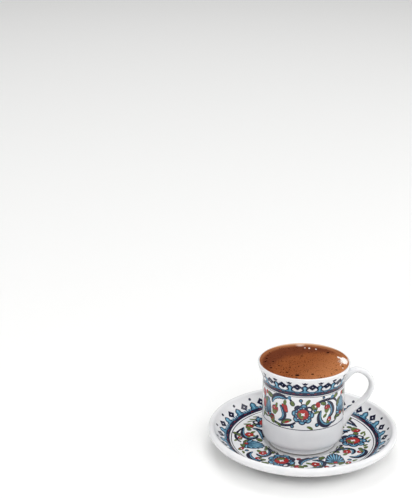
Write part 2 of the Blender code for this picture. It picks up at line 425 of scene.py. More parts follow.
# %% [markdown]
# ## Handle
#
# The handle is cast on its own and stuck on with slip. It is an oval strap that leaves the wall thick,
# thins over a high round shoulder and runs down to a thick lower root. Here it starts as a straight bar:
# one oval is extruded ring by ring and scaled to the strap's size at each ring. A curve through the
# handle's stations then bends the bar. That keeps the two sizes of the oval independent, which a plain
# curve bevel can't do.

# %% Handle bar
# radius, height, half thickness, half width at each station, from the upper root to the lower one
HANDLE_STATIONS = (
    (24.6, 43.6, 4.8, 3.2),
    (28.4, 45.8, 3.3, 2.8),
    (31.6, 47.7, 2.3, 2.5),
    (35.8, 48.8, 1.9, 2.4),
    (41.0, 46.6, 1.9, 2.4),
    (44.7, 42.2, 1.9, 2.4),
    (45.8, 37.2, 1.9, 2.4),
    (44.4, 32.0, 1.9, 2.4),
    (40.6, 26.8, 2.0, 2.4),
    (35.6, 22.3, 2.1, 2.4),
    (31.4, 18.8, 2.5, 2.6),
    (28.6, 15.0, 3.1, 2.9),
    (25.4, 10.6, 3.7, 3.3),
)
HANDLE_SIDES = 32
RINGS_PER_STATION = 6


def smooth_line(points, steps):
    """Points of a smooth line through the given ones, with steps between each two."""
    last = len(points) - 1
    line = []
    for index in range(last * steps + 1):
        near = min(index // steps, last - 1)
        t = index / steps - near
        around = [points[min(max(near + step, 0), last)] for step in (-1, 0, 1, 2)]
        values = []
        for a, b, c, d in zip(*around):
            square = 2 * a - 5 * b + 4 * c - d
            cube = 3 * b - a - 3 * c + d
            values.append(0.5 * (2 * b + (c - a) * t + square * t ** 2 + cube * t ** 3))
        line.append(tuple(values))
    return line


handle_line = smooth_line(HANDLE_STATIONS, RINGS_PER_STATION)
bpy.ops.object.select_all(action="DESELECT")
bpy.ops.mesh.primitive_circle_add(vertices=HANDLE_SIDES, radius=MM, fill_type="NGON",
                                  rotation=(0.0, math.radians(90), 0.0))
handle = bpy.context.object
bpy.ops.object.transform_apply(location=True, rotation=True, scale=True)
bpy.ops.object.mode_set(mode="EDIT")
bpy.ops.mesh.select_all(action="SELECT")
thickness, width = handle_line[0][2:]
bpy.ops.transform.resize(value=(1.0, width, thickness), center_override=(0.0, 0.0, 0.0))
reach = 0.0
for before, after in zip(handle_line, handle_line[1:]):
    step = math.dist(before[:2], after[:2]) * MM
    reach += step
    bpy.ops.mesh.extrude_region_move(TRANSFORM_OT_translate={"value": (step, 0.0, 0.0)})
    bpy.ops.transform.resize(value=(1.0, after[3] / before[3], after[2] / before[2]),
                             center_override=(reach, 0.0, 0.0))
bpy.ops.mesh.select_all(action="SELECT")
bpy.ops.mesh.normals_make_consistent(inside=False)
bpy.ops.object.mode_set(mode="OBJECT")
print("handle bar", round(reach / MM, 1), "mm long")

# %% Bend the handle and join it to the cup
TRIM_LOW = 6.0
TRIM_BELOW_RIM = 2.0

path = bpy.data.curves.new("handle_path", "CURVE")
path.dimensions = "3D"
path.twist_mode = "MINIMUM"
spline = path.splines.new("POLY")
spline.points.add(len(handle_line) - 1)
for point, (radius, height, *_) in zip(spline.points, handle_line):
    point.co = (radius * MM, 0.0, (cup_base + height) * MM, 1.0)
guide = bpy.data.objects.new("handle_path", path)
bpy.context.scene.collection.objects.link(guide)
use_modifier(handle, "CURVE", object=guide, deform_axis="POS_X")
bpy.data.objects.remove(guide)
handle_width = max(corner.co.y for corner in handle.data.vertices) / MM

cup_rim = CUP_LIP_CENTRE[1] + CUP_LIP_RADIUS
trim_high = cup_rim - TRIM_BELOW_RIM
bpy.ops.object.select_all(action="DESELECT")
bpy.ops.mesh.primitive_cylinder_add(
    vertices=TURN_STEPS,
    radius=(CUP_BODY_RADIUS - CUP_WALL / 2) * MM,
    depth=(trim_high - TRIM_LOW) * MM,
    location=(0.0, 0.0, (cup_base + (trim_high + TRIM_LOW) / 2) * MM),
)
trimmer = bpy.context.object
use_modifier(handle, "BOOLEAN", operation="DIFFERENCE", solver="EXACT", object=trimmer)
bpy.data.objects.remove(trimmer)
use_modifier(cup, "BOOLEAN", operation="UNION", solver="EXACT", object=handle)
bpy.data.objects.remove(handle)
smooth(cup, CREASE_ANGLE)
print("handle half width", round(handle_width, 2), "mm, cup", len(cup.data.polygons), "faces")

# %% [markdown]
# ## Drawing the ornament
#
# The ornament is a transfer print, fired under a clear glaze. It could be an image, but a
# drawing made of outlines stays sharp at any distance and needs no picture. Each motif is a list of
# colours and closed outlines in millimetres, painted one over the other: first the cobalt line, then
# the fill inside it. `BARE` wipes the colour away again and leaves the white.

# %% Strokes
# the colours by their place in the list of print glazes
NAVY, BLUE, SKY, RED, GREEN = range(5)
BARE = -1
LINE_STEPS = 6
# the colours spread a little in the fire, so every stroke comes out fuller than it was drawn
FIRED_SPREAD = 1.55
# the lower this power, the sooner a stroke reaches its full width
STROKE_FULLNESS = 0.6
OUTLINE = 0.48
FINE_OUTLINE = 0.24


def toward(centre, angle, distance):
    """The point at a distance from a centre, in a direction in degrees."""
    turn = math.radians(angle)
    return (centre[0] + distance * math.cos(turn), centre[1] + distance * math.sin(turn))


def ellipse(centre, wide, high, turn=0.0, corners=20):
    """A closed oval, turned by an angle in degrees."""
    points = []
    for corner in range(corners):
        angle = math.tau * corner / corners
        x = wide * math.cos(angle)
        y = high * math.sin(angle)
        cosine = math.cos(math.radians(turn))
        sine = math.sin(math.radians(turn))
        points.append((centre[0] + x * cosine - y * sine, centre[1] + x * sine + y * cosine))
    return points


def ribbon(points, near, far, ends=0.1, teeth=0.0):
    """A band along a smooth line, from one side distance to another, that narrows to its ends."""
    line = smooth_line(points, LINE_STEPS)
    last = len(line) - 1
    near_side = []
    far_side = []
    for index, (x, y) in enumerate(line):
        before = line[max(index - 1, 0)]
        after = line[min(index + 1, last)]
        length = math.dist(before, after)
        across = ((before[1] - after[1]) / length, (after[0] - before[0]) / length)
        swell = ends + (1.0 - ends) * max(0.0, math.sin(math.pi * index / last)) ** STROKE_FULLNESS
        notch = 1.0 - teeth * (index % 3 == 1)
        near_side.append((x + across[0] * near * swell, y + across[1] * near * swell))
        far_side.append((x + across[0] * far * swell * notch, y + across[1] * far * swell * notch))
    return near_side + far_side[::-1]


def between(base, tip, along, aside):
    """A point in shares of the line from base to tip: along it, and off to its left."""
    dx = tip[0] - base[0]
    dy = tip[1] - base[1]
    return (base[0] + dx * along - dy * aside, base[1] + dy * along + dx * aside)


print("points round a short stroke", len(ribbon([(0.0, 0.0), (1.0, 0.0), (2.0, 0.0)], -0.5, 0.5)))

# %% Leaves, stems and buds
def stem(points, width):
    """A painted line of one width, a little thinner at its ends."""
    half = width * FIRED_SPREAD / 2
    return [(NAVY, ribbon(points, -half, half, ends=0.6))]


def leaf(base, tip, width, colour=GREEN, lean=0.08):
    """An almond-shaped leaf that leans a little to one side."""
    half = width * FIRED_SPREAD / 2
    middle = between(base, tip, 0.5, lean)
    return [(colour, ribbon([base, middle, tip], -half, half))]


def edged_leaf(base, tip, width, colour=GREEN, lean=0.08, edge=OUTLINE):
    """A leaf with a cobalt edge."""
    inner_base = between(base, tip, 0.08, 0.0)
    inner_tip = between(base, tip, 0.92, 0.0)
    outer = leaf(base, tip, width + 2 * edge / FIRED_SPREAD, NAVY, lean)
    return outer + leaf(inner_base, inner_tip, width, colour, lean)


def bud(centre, size):
    """A round turquoise bud with a cobalt edge."""
    return [(NAVY, ellipse(centre, size * 1.2, size * 1.2)), (BLUE, ellipse(centre, size * 0.6, size * 0.6))]


def feather(points, width, side, belly):
    """A long curved leaf: cobalt back, and a turquoise belly with a toothed edge on its inner side."""
    outer = 0.6 * width * side
    inner = 0.44 * width * side
    full = belly * width * side
    back = (NAVY, ribbon(points, -outer, outer, teeth=0.1))
    lit = (BLUE, ribbon(points, inner - full, inner, teeth=0.32))
    vein = (SKY, ribbon(points[:-1], inner - 0.6 * full, inner - 0.35 * full, ends=0.0))
    return [back, lit, vein]


def tulip(base, tip, width):
    """Red petals with a white glint, that open from a green cup."""
    motif = []
    for aside in (0.28, -0.28, 0.0):
        end = between(base, tip, 1.08 - abs(aside) * 0.4, aside)
        motif += edged_leaf(base, end, width * 0.5, RED, 0.0, FINE_OUTLINE)
    motif.append((BARE, ellipse(between(base, tip, 0.66, 0.14), width * 0.08, width * 0.07, corners=10)))
    low = between(base, tip, -0.2, 0.0)
    for aside in (0.3, -0.3):
        motif += leaf(low, between(base, tip, 0.44, aside), width * 0.34)
    return motif


def carnation(centre, size, turn):
    """A small red flower head on green sepals."""
    motif = [(NAVY, ellipse(centre, size * 1.25, size, turn))]
    motif.append((RED, ellipse(centre, size * 1.05, size * 0.82, turn)))
    motif.append((GREEN, ellipse(toward(centre, turn + 180, size), size * 0.62, size * 0.7, turn)))
    motif.append((BARE, ellipse(centre, size * 0.24, size * 0.24)))
    return motif


def blossom(centre, size, turn):
    """An open red flower of five petals round a white heart, with two green leaves behind."""
    motif = []
    for aside in (150, 215):
        base = toward(centre, turn + aside, size * 0.5)
        motif += leaf(base, toward(centre, turn + aside, size * 1.7), size * 0.5)
    petals = [toward(centre, turn + 72 * petal, size * 0.52) for petal in range(5)]
    motif += [(NAVY, ellipse(petal, size * 0.62, size * 0.62)) for petal in petals]
    motif += [(RED, ellipse(petal, size * 0.52, size * 0.52)) for petal in petals]
    motif.append((BARE, ellipse(centre, size * 0.2, size * 0.2)))
    return motif


print("outlines of a blossom", len(blossom((0.0, 0.0), 1.0, 0.0)))

# %% [markdown]
# ## Rosette and palmette
#
# The two large flowers take turns round the ware. The rosette is a cobalt flower with turquoise petals
# in two rows, round a red ring with a green side and a white heart. One of its petals is left white
# and one dark. The palmette is a fan of narrow turquoise petals on cobalt, with red and green at its
# base. Each flower is one function of its place and size, so that it can be set anywhere.

# %% Large flowers
ROSETTE_PETALS = 8
WHITE_PETAL = 1
DARK_PETAL = 3
GREEN_SIDE = 218
FAN_PETALS = 9
FAN_OPENING = 80.0
FAN_EDGE = 0.34


def rosette(centre, turn, size=1.0):
    """A large round flower, turned by an angle in degrees."""
    motif = [(NAVY, ellipse(centre, 5.6 * size, 5.6 * size, corners=40))]
    step = 360.0 / ROSETTE_PETALS
    for petal in range(ROSETTE_PETALS):
        angle = turn + step * petal
        motif.append((NAVY, ellipse(toward(centre, angle, 5.35 * size), 2.1 * size, 2.4 * size, angle)))
    for petal in range(ROSETTE_PETALS):
        angle = turn + step * petal
        if petal == WHITE_PETAL:
            hollow = toward(centre, angle, 5.5 * size)
            motif.append((BARE, ellipse(hollow, 0.8 * size, 1.2 * size, angle + 20)))
            continue
        if petal != DARK_PETAL:
            motif.append((BLUE, ellipse(toward(centre, angle, 5.85 * size), 0.9 * size, 1.55 * size, angle)))
            motif.append((SKY, ellipse(toward(centre, angle, 6.15 * size), 0.3 * size, 0.85 * size, angle)))
        beside = angle + step / 2
        inner_petal = toward(centre, beside, 4.65 * size)
        motif.append((BLUE, ellipse(inner_petal, 0.55 * size, 0.9 * size, beside)))
        glint = toward(centre, angle, 4.25 * size)
        motif.append((BARE, ellipse(glint, 0.3 * size, 0.42 * size, angle, corners=8)))
    motif.append((RED, ellipse(centre, 3.6 * size, 3.5 * size, corners=32)))
    green = turn + GREEN_SIDE
    motif.append((GREEN, ellipse(toward(centre, green, 1.75 * size), 1.35 * size, 2.5 * size, green)))
    for arm in (40, 140):
        motif.append((BARE, ellipse(centre, 1.5 * size, 0.5 * size, arm, corners=14)))
    motif.append((BARE, ellipse(centre, 0.95 * size, 0.65 * size, corners=14)))
    return motif


def palmette(base, tip, width):
    """A fan-shaped flower that opens from its base to its tip."""
    reach = width / 2 / math.dist(base, tip)
    back = []
    for angle in range(-90, 91, 10):
        turn = math.radians(angle)
        back.append(between(base, tip, 0.1 + 0.86 * math.cos(turn), 1.02 * reach * math.sin(turn)))
    motif = [(NAVY, back)]
    half = FAN_PETALS // 2
    for petal in [half - index for index in range(half)] + [0]:
        for side in ((1, -1) if petal else (1,)):
            turn = math.radians(side * petal * FAN_OPENING / half)
            end = between(base, tip, 0.1 + 0.92 * math.cos(turn), 1.04 * reach * math.sin(turn))
            start = between(base, tip, 0.14, 0.04 * side * petal / half)
            motif += edged_leaf(start, end, width * 0.07, BLUE, 0.1 * side * petal / half, FAN_EDGE)
            low = between(start, end, 0.3, 0.0)
            motif += leaf(low, between(start, end, 0.94, 0.0), width * 0.034, SKY, 0.0)
    for aside in (0.42, -0.42):
        motif += edged_leaf(between(base, tip, -0.02, 0.0), between(base, tip, 0.08, aside), width * 0.075)
    heart = between(base, tip, 0.1, 0.0)
    motif.append((NAVY, ellipse(heart, width * 0.125, width * 0.125)))
    motif.append((RED, ellipse(heart, width * 0.1, width * 0.1)))
    return motif


print("outlines of a rosette", len(rosette((0.0, 0.0), 0.0)))

# %% [markdown]
# ## Ornament of the cup
#
# The cup's drawing is a flat strip: one direction runs round the wall and the other up it. Under the
# rim is a border of arches and diamonds on a cobalt and a turquoise band, with a small cobalt crown
# over each arch, and the flowers fill the wall between two thin lines. The field has two rosettes,
# front and back, with palmettes between, and only leaves on each side of the handle. What repeats
# round the ware is drawn once, by a function, and shifted to each place.

# %% Scrolls of the cup
CUP_BELLY = 0.36


def left_scroll():
    """What grows on the left of a rosette whose centre is at zero."""
    motif = stem([(-11.8, 10.0), (-9.2, 10.3), (-7.2, 7.8), (-5.8, 6.2)], 1.0)
    back = [(-22.4, 4.0), (-20.9, 8.0), (-17.2, 10.3), (-13.4, 10.4), (-10.9, 9.6)]
    motif += feather(back, 3.4, -1, CUP_BELLY)
    motif += leaf((-9.8, 9.6), (-8.0, 11.6), 1.5, BLUE)
    motif += edged_leaf((-5.6, 5.6), (-7.8, 8.9), 1.5)
    motif += leaf((-27.0, 8.4), (-28.6, 10.8), 1.9, RED)
    motif += edged_leaf((-21.6, 8.6), (-27.2, 9.8), 1.7)
    motif += tulip((-19.9, -2.4), (-19.6, 2.9), 4.2)
    motif += leaf((-18.6, 1.6), (-17.9, 5.3), 1.2)
    inner = [(-15.8, 4.4), (-13.9, 2.2), (-12.5, -1.3), (-13.4, -4.6), (-16.9, -6.7)]
    motif += feather(inner, 2.9, -1, CUP_BELLY)
    motif += edged_leaf((-11.8, 3.0), (-14.0, 5.8), 1.2, RED, edge=FINE_OUTLINE)
    motif += edged_leaf((-10.4, 0.0), (-11.8, 6.0), 1.7, RED, edge=FINE_OUTLINE)
    motif += leaf((-12.2, 5.2), (-11.5, 8.8), 1.5)
    motif += stem([(-24.2, 0.6), (-23.9, -3.4), (-22.0, -8.0), (-18.7, -8.9), (-14.6, -9.4), (-8.3, -8.2),
                   (-4.7, -5.9)], 1.2)
    motif += tulip((-20.9, -8.9), (-23.0, -4.2), 3.2)
    motif += edged_leaf((-14.6, -8.2), (-7.2, -4.4), 1.2)
    motif += leaf((-11.9, -7.5), (-8.8, -5.8), 0.9, RED)
    motif += bud((-6.9, -8.9), 1.15)
    motif += leaf((-18.6, -9.2), (-14.8, -10.6), 1.1)
    return motif


def right_scroll():
    """What grows on the right of a rosette whose centre is at zero."""
    branch = [(6.0, 4.6), (8.2, 6.2), (10.2, 7.9), (13.7, 8.8), (18.4, 9.0), (22.0, 8.2), (24.6, 5.6)]
    motif = stem(branch, 1.2)
    motif += edged_leaf((5.8, 3.2), (9.4, 5.6), 2.8)
    motif += [(RED, ellipse((9.7, 6.4), 1.5, 2.1, 25.0)), (BARE, ellipse((8.0, 5.4), 0.5, 0.7, 25.0))]
    motif += bud((7.9, 2.5), 1.0)
    motif += leaf((7.0, 0.2), (10.9, 1.6), 1.1)
    motif += bud((13.6, 10.9), 0.85)
    motif += edged_leaf((11.4, 7.6), (15.4, 5.6), 1.3)
    motif += leaf((19.4, 9.2), (21.6, 11.0), 1.3, BLUE)
    motif += edged_leaf((21.6, 8.8), (25.8, 10.8), 1.3)
    motif += feather([(16.2, 7.8), (19.2, 5.2), (20.9, 1.0), (19.9, -1.9), (17.2, -3.9)], 3.0, -1, CUP_BELLY)
    motif += tulip((16.3, 0.6), (16.5, 5.4), 3.2)
    motif += leaf((16.0, -0.6), (13.4, -3.1), 1.3)
    crescent = [(12.0, 2.2), (10.8, -1.4), (11.2, -4.9), (13.6, -8.0), (17.4, -9.1), (21.0, -7.8)]
    motif += feather(crescent, 3.3, 1, CUP_BELLY)
    motif += stem([(20.6, -8.6), (24.0, -7.2), (26.0, -3.4)], 0.8)
    motif += carnation((18.1, -5.4), 1.8, 60.0)
    motif += bud((9.4, -7.7), 1.25)
    motif += edged_leaf((24.0, -7.4), (24.8, -3.8), 1.2)
    return motif


def small_leaves():
    """The bud and the leaves above and below a rosette whose centre is at zero."""
    motif = stem([(-0.8, 7.0), (-1.5, 9.0)], 0.5)
    motif += bud((-1.5, 9.6), 1.1)
    motif += leaf((2.1, 6.6), (4.5, 10.2), 1.5)
    motif += leaf((2.6, -8.6), (6.6, -10.9), 1.2)
    return motif


def side_flowers():
    """Red flowers one over the other, for the left of a palmette."""
    motif = edged_leaf((0.3, 4.0), (-0.4, -3.2), 2.8, RED)
    motif.append((NAVY, ellipse((0.8, 4.9), 1.7, 2.1)))
    motif += edged_leaf((-1.6, 9.8), (0.8, 5.0), 2.8, RED)
    motif += bud((1.0, -4.4), 1.2)
    motif += leaf((1.0, -5.0), (-1.4, -9.9), 1.5)
    return motif


print("outlines beside a rosette", len(left_scroll() + right_scroll() + small_leaves()))

# %% Cup field
CUP_FIELD_HEIGHT = 31.5
CUP_ROSETTES = (257.5, 127.0)
CUP_ROSETTE_TURN = -5.0
# azimuth, how far it stands above the middle of the field, and width
CUP_PALMETTES = ((320.3, 1.6, 10.4), (201.0, 0.0, 6.6), (66.0, 0.8, 10.4))
CUP_PALMETTE_BASE = (0.0, -7.0)
CUP_PALMETTE_TIP = (0.0, 6.8)
CUP_SIDE_FLOWERS = (189.0, 49.0)
# the handle stands where a third rosette would, so only the leaves on its left and right are drawn
CUP_LEFT_ONLY = 23.0
CUP_RIGHT_ONLY = 3.5


def shifted(motif, x, y):
    """A motif moved across the drawing."""
    return [(colour, [(px + x, py + y) for px, py in outline]) for colour, outline in motif]


def round_cup(azimuth):
    """The distance round the cup's wall at an azimuth in degrees."""
    return math.radians(azimuth) * CUP_BODY_RADIUS


cup_design = []
for azimuth in CUP_ROSETTES:
    flower = left_scroll() + right_scroll() + small_leaves() + rosette((0.0, 0.0), CUP_ROSETTE_TURN)
    cup_design += shifted(flower, round_cup(azimuth), CUP_FIELD_HEIGHT)
cup_design += shifted(left_scroll(), round_cup(CUP_LEFT_ONLY + 360.0), CUP_FIELD_HEIGHT)
cup_design += shifted(right_scroll(), round_cup(CUP_RIGHT_ONLY), CUP_FIELD_HEIGHT)
for azimuth, above, width in CUP_PALMETTES:
    flower = palmette(CUP_PALMETTE_BASE, CUP_PALMETTE_TIP, width)
    flower += edged_leaf((-0.42 * width, 0.2), (-0.15 * width, 6.0), 1.3)
    cup_design += shifted(flower, round_cup(azimuth), CUP_FIELD_HEIGHT + above)
for azimuth in CUP_SIDE_FLOWERS:
    cup_design += shifted(side_flowers(), round_cup(azimuth), CUP_FIELD_HEIGHT)
print("cup field", len(cup_design), "outlines")

# %% Border motifs
# half width, and height above the cobalt band
ARCH_EDGE = (
    (3.6, 0.0), (2.9, 1.1), (1.75, 1.7), (1.45, 2.2), (2.05, 2.8), (2.45, 3.3), (2.0, 4.2), (1.2, 4.9),
    (0.5, 5.4), (0.0, 5.6),
)
ARCH_FILL = (
    (3.2, 0.4), (2.4, 0.9), (0.85, 1.5), (0.6, 2.3), (1.0, 2.9), (1.2, 3.4), (0.95, 4.1), (0.45, 4.6),
    (0.0, 4.8),
)
ARCH_SHINE = ((0.3, 0.8), (0.3, 2.4), (0.55, 3.1), (0.6, 3.7), (0.0, 4.3))
CROWN = ((0.0, -0.8), (0.9, -0.9), (1.8, 0.8), (0.8, 0.5), (0.0, 1.1))
# colour, line, half its width, and the share of that width left at its ends; the line lies beside an
# arch in shares of half a repeat, and above the cobalt band
BAND_MARKS = (
    (NAVY, ((0.98, 0.35), (0.78, 0.75), (0.62, 0.35)), 0.17, 0.8),
    (RED, ((0.3, -0.85), (0.5, -0.65), (0.7, -0.85)), 0.11, 0.6),
)


def mirrored(profile, place):
    """A closed outline that is the same on both sides, put into the drawing by place."""
    left = [place(-aside, out) for aside, out in reversed(profile) if aside > 0]
    return [place(aside, out) for aside, out in profile] + left


def diamond(half_wide, half_high, heart, place):
    """A cobalt diamond with a white heart."""
    motif = []
    for colour, share in ((NAVY, 1.0), (BARE, heart)):
        corners = ((0.0, -half_high * share), (half_wide * share, 0.0), (0.0, half_high * share))
        motif.append((colour, mirrored(corners, place)))
    return motif


def arch(edge, fill, shine, place):
    """A turquoise arch with a cobalt edge and a pale shine, that stands on the cobalt band."""
    layers = ((NAVY, edge), (BLUE, fill), (SKY, shine))
    return [(colour, mirrored(profile, place)) for colour, profile in layers]


def band_marks(half_repeat, place):
    """The hooks in the turquoise band and the dull red marks in the cobalt one, beside an arch."""
    motif = []
    for side in (1, -1):
        for colour, line, half, ends in BAND_MARKS:
            points = [place(side * half_repeat * share, out) for share, out in line]
            motif.append((colour, ribbon(points, -half, half, ends=ends)))
    return motif


print("an arch is", ARCH_EDGE[-1][1], "mm tall and", 2 * ARCH_EDGE[0][0], "mm wide")

# %% Cup border
CUP_BORDER_REPEATS = 18
CUP_BORDER_TURN = 259.25
CUP_FIELD_LINE = (20.15, 20.65)
CUP_TOP_LINE = (43.35, 43.7)
CUP_NAVY_BAND = (44.2, 46.4)
CUP_BLUE_BAND = (46.4, 47.6)
CUP_DIAMOND_HEIGHT = 51.2
# half width and half height of a diamond, and the share of its white heart
CUP_DIAMOND = (3.15, 2.6, 0.13)
CUP_ARCH_TALLER = 1.16
CUP_CROWN_ABOVE = 7.5

cup_turn = math.tau * CUP_BODY_RADIUS
cup_half_repeat = cup_turn / CUP_BORDER_REPEATS / 2


def strip(low, high):
    """A band right round the cup."""
    return [(0.0, low), (cup_turn, low), (cup_turn, high), (0.0, high)]


def cup_repeat(middle):
    """One repeat of the cup's border: an arch with its crown, and the diamond after it."""
    beside = (middle + cup_half_repeat) % cup_turn

    def over_band(aside, out):
        return (middle + aside, CUP_NAVY_BAND[1] + out)

    def over_taller_band(aside, out):
        return over_band(aside, out * CUP_ARCH_TALLER)

    def over_diamond(aside, out):
        return (beside + aside, CUP_DIAMOND_HEIGHT + out)

    motif = arch(ARCH_EDGE, ARCH_FILL, ARCH_SHINE, over_taller_band)
    motif += band_marks(cup_half_repeat, over_band)
    motif += shifted([(NAVY, mirrored(CROWN, over_band))], 0.0, CUP_CROWN_ABOVE)
    return motif + diamond(*CUP_DIAMOND, over_diamond)


cup_border = [(NAVY, strip(*CUP_FIELD_LINE)), (NAVY, strip(*CUP_TOP_LINE))]
cup_border += [(NAVY, strip(*CUP_NAVY_BAND)), (BLUE, strip(*CUP_BLUE_BAND))]
for repeat in range(CUP_BORDER_REPEATS):
    turn = CUP_BORDER_TURN + 360.0 * repeat / CUP_BORDER_REPEATS
    cup_border += cup_repeat(round_cup(turn % 360.0))
cup_design += cup_border
# what runs over the end of the strip goes on at its start
for colour, outline in list(cup_design):
    if max(x for x, y in outline) > cup_turn and min(x for x, y in outline) > 0:
        cup_design += shifted([(colour, outline)], -cup_turn, 0.0)
print("cup border", len(cup_border), "outlines")

# %% [markdown]
# ## Ornament of the saucer
#
# The saucer's drawing is seen from above. Its border climbs the curved wall: arches in the shape of
# a flame, each with a dot over it, take turns with diamonds. In the field each palmette points to the
# cup, with a feathery leaf curled round red flowers on each side. A place in the drawing is an azimuth
# and a radius.

# %% Scrolls of the saucer
THIN_BELLY = 0.3
SCROLL_BLOSSOM_TURN = 100.0


def on_disc(azimuth, radius):
    """The place in the drawing at an azimuth in degrees and a radius."""
    return (radius * math.cos(math.radians(azimuth)), radius * math.sin(math.radians(azimuth)))


def traced(spot, *places):
    """The points of a line through places in the drawing, each given as an azimuth and a radius."""
    return [spot(*place) for place in places]


def lower_scroll(spot):
    """What grows between a palmette and the rosette before it, by azimuth from the palmette and radius."""
    curl = traced(spot, (-38.0, 42.2), (-26.8, 40.6), (-18.4, 38.2), (-15.2, 34.4), (-18.9, 30.8),
                  (-25.8, 30.0))
    motif = feather(curl, 3.1, 1, THIN_BELLY)
    motif += blossom(spot(-24.6, 35.6), 2.9, SCROLL_BLOSSOM_TURN)
    motif += leaf(spot(-27.6, 34.8), spot(-34.0, 32.9), 1.5)
    branch = traced(spot, (-37.2, 42.0), (-30.0, 43.4), (-21.8, 44.5), (-14.2, 43.7), (-7.0, 41.0))
    motif += stem(branch, 1.15)
    motif += edged_leaf(spot(-22.0, 44.2), spot(-26.0, 45.9), 1.3)
    motif += edged_leaf(spot(-24.6, 43.6), spot(-19.0, 41.8), 1.5)
    motif += carnation(spot(-15.9, 41.4), 1.8, 90.0)
    motif += leaf(spot(-13.0, 43.9), spot(-9.4, 45.2), 1.2)
    motif += tulip(spot(-38.2, 38.6), spot(-45.6, 39.8), 4.8)
    motif += edged_leaf(spot(-45.0, 37.6), spot(-51.0, 36.4), 1.9)
    motif += edged_leaf(spot(-36.4, 38.8), spot(-33.0, 36.6), 1.5)
    motif += leaf(spot(-48.0, 43.6), spot(-54.0, 41.2), 0.8)
    motif += leaf(spot(-59.0, 45.4), spot(-63.0, 42.6), 0.9)
    long_leaf = traced(spot, (-39.4, 36.4), (-39.6, 32.4), (-35.2, 29.0), (-25.6, 26.8), (-12.6, 25.8))
    motif += feather(long_leaf, 3.6, -1, CUP_BELLY)
    motif += edged_leaf(spot(-46.0, 28.4), spot(-39.4, 28.6), 1.7, RED)
    motif += edged_leaf(spot(-16.2, 30.4), spot(-6.4, 27.4), 1.8)
    return motif


def upper_scroll(spot):
    """What grows between a palmette and the rosette after it."""
    curl = traced(spot, (20.6, 37.3), (25.6, 37.4), (30.2, 35.8), (30.8, 31.6), (26.2, 28.4), (19.0, 27.4))
    motif = feather(curl, 2.5, 1, THIN_BELLY)
    motif += blossom(spot(23.4, 33.2), 2.6, -SCROLL_BLOSSOM_TURN)
    motif += leaf(spot(20.6, 34.0), spot(13.6, 33.6), 1.5)
    long_leaf = traced(spot, (15.2, 37.8), (18.2, 42.0), (25.4, 44.1), (32.2, 43.6), (35.8, 40.4))
    motif += feather(long_leaf, 3.4, 1, THIN_BELLY)
    motif += carnation(spot(29.5, 40.6), 1.8, 200.0)
    motif += edged_leaf(spot(33.4, 41.2), spot(37.4, 38.8), 1.4)
    motif += leaf(spot(36.6, 42.4), spot(41.6, 43.6), 1.5)
    motif += stem(traced(spot, (12.4, 27.0), (21.2, 26.2), (29.4, 25.7), (39.0, 27.0)), 1.6)
    motif += edged_leaf(spot(7.4, 26.4), spot(15.0, 26.2), 1.7)
    motif += edged_leaf(spot(14.0, 28.8), spot(19.4, 28.2), 1.4)
    motif += edged_leaf(spot(27.0, 27.2), spot(33.6, 28.6), 1.2)
    motif += leaf(spot(28.6, 25.2), spot(35.0, 25.4), 1.4)
    motif += bud(spot(10.4, 40.6), 1.2)
    motif += carnation(spot(5.4, 43.0), 1.8, 40.0)
    motif += leaf(spot(9.6, 43.6), spot(15.0, 44.4), 1.1)
    motif += leaf(spot(-4.0, 41.8), spot(2.8, 41.6), 1.3)
    return motif


def rosette_leaves(azimuth):
    """The buds and leaves outside a rosette."""
    motif = bud(on_disc(azimuth - 2.1, 43.4), 1.0)
    motif += leaf(on_disc(azimuth + 1.7, 41.8), on_disc(azimuth + 6.4, 45.2), 1.2)
    motif += leaf(on_disc(azimuth + 12.5, 40.2), on_disc(azimuth + 17.2, 44.4), 1.3)
    motif += leaf(on_disc(azimuth - 12.0, 41.0), on_disc(azimuth - 7.0, 43.4), 1.2)
    motif += stem([on_disc(azimuth + 18.0, 28.2), on_disc(azimuth + 22.0, 31.2),
                   on_disc(azimuth + 21.0, 33.1)], 0.8)
    return motif


print("outlines beside a palmette", len(lower_scroll(on_disc) + upper_scroll(on_disc)))

# %% Saucer field
SAUCER_ROSETTES = (125.0, 235.0, 349.0)
SAUCER_ROSETTE_RADIUS = 33.6
SAUCER_ROSETTE_SIZE = 1.25
# azimuth of each palmette, and how far its scrolls stretch down and up to the next rosettes
SAUCER_PALMETTES = ((185.3, 1.0, 0.96), (296.3, 1.0, 1.0), (62.0, 1.2, 1.15))
# from the palmette's azimuth, and radius
SAUCER_PALMETTE_BASE = (-5.0, 39.2)
SAUCER_PALMETTE_TIP = (9.3, 27.3)
SAUCER_PALMETTE_WIDTH = 12.6

saucer_design = []
for azimuth, lower_stretch, upper_stretch in SAUCER_PALMETTES:
    saucer_design += lower_scroll(lambda turn, radius: on_disc(azimuth + turn * lower_stretch, radius))
    saucer_design += upper_scroll(lambda turn, radius: on_disc(azimuth + turn * upper_stretch, radius))
    base = on_disc(azimuth + SAUCER_PALMETTE_BASE[0], SAUCER_PALMETTE_BASE[1])
    tip = on_disc(azimuth + SAUCER_PALMETTE_TIP[0], SAUCER_PALMETTE_TIP[1])
    saucer_design += palmette(base, tip, SAUCER_PALMETTE_WIDTH)
for azimuth in SAUCER_ROSETTES:
    saucer_design += rosette_leaves(azimuth)
    saucer_design += rosette(on_disc(azimuth, SAUCER_ROSETTE_RADIUS), azimuth, SAUCER_ROSETTE_SIZE)
print("saucer field", len(saucer_design), "outlines")

# %% Saucer border
SAUCER_BORDER_REPEATS = 23
SAUCER_BORDER_TURN = 0.8
SAUCER_LINE = (46.85, 47.4)
SAUCER_NAVY_BAND = (48.25, 50.4)
SAUCER_BLUE_EDGE = 51.9
SAUCER_DIAMOND_RADIUS = 54.1
SAUCER_DIAMOND = (3.3, 2.4, 0.2)
# how far out from the cobalt band, half length across and half length outwards
SAUCER_DOT = (6.5, 1.1, 0.75)
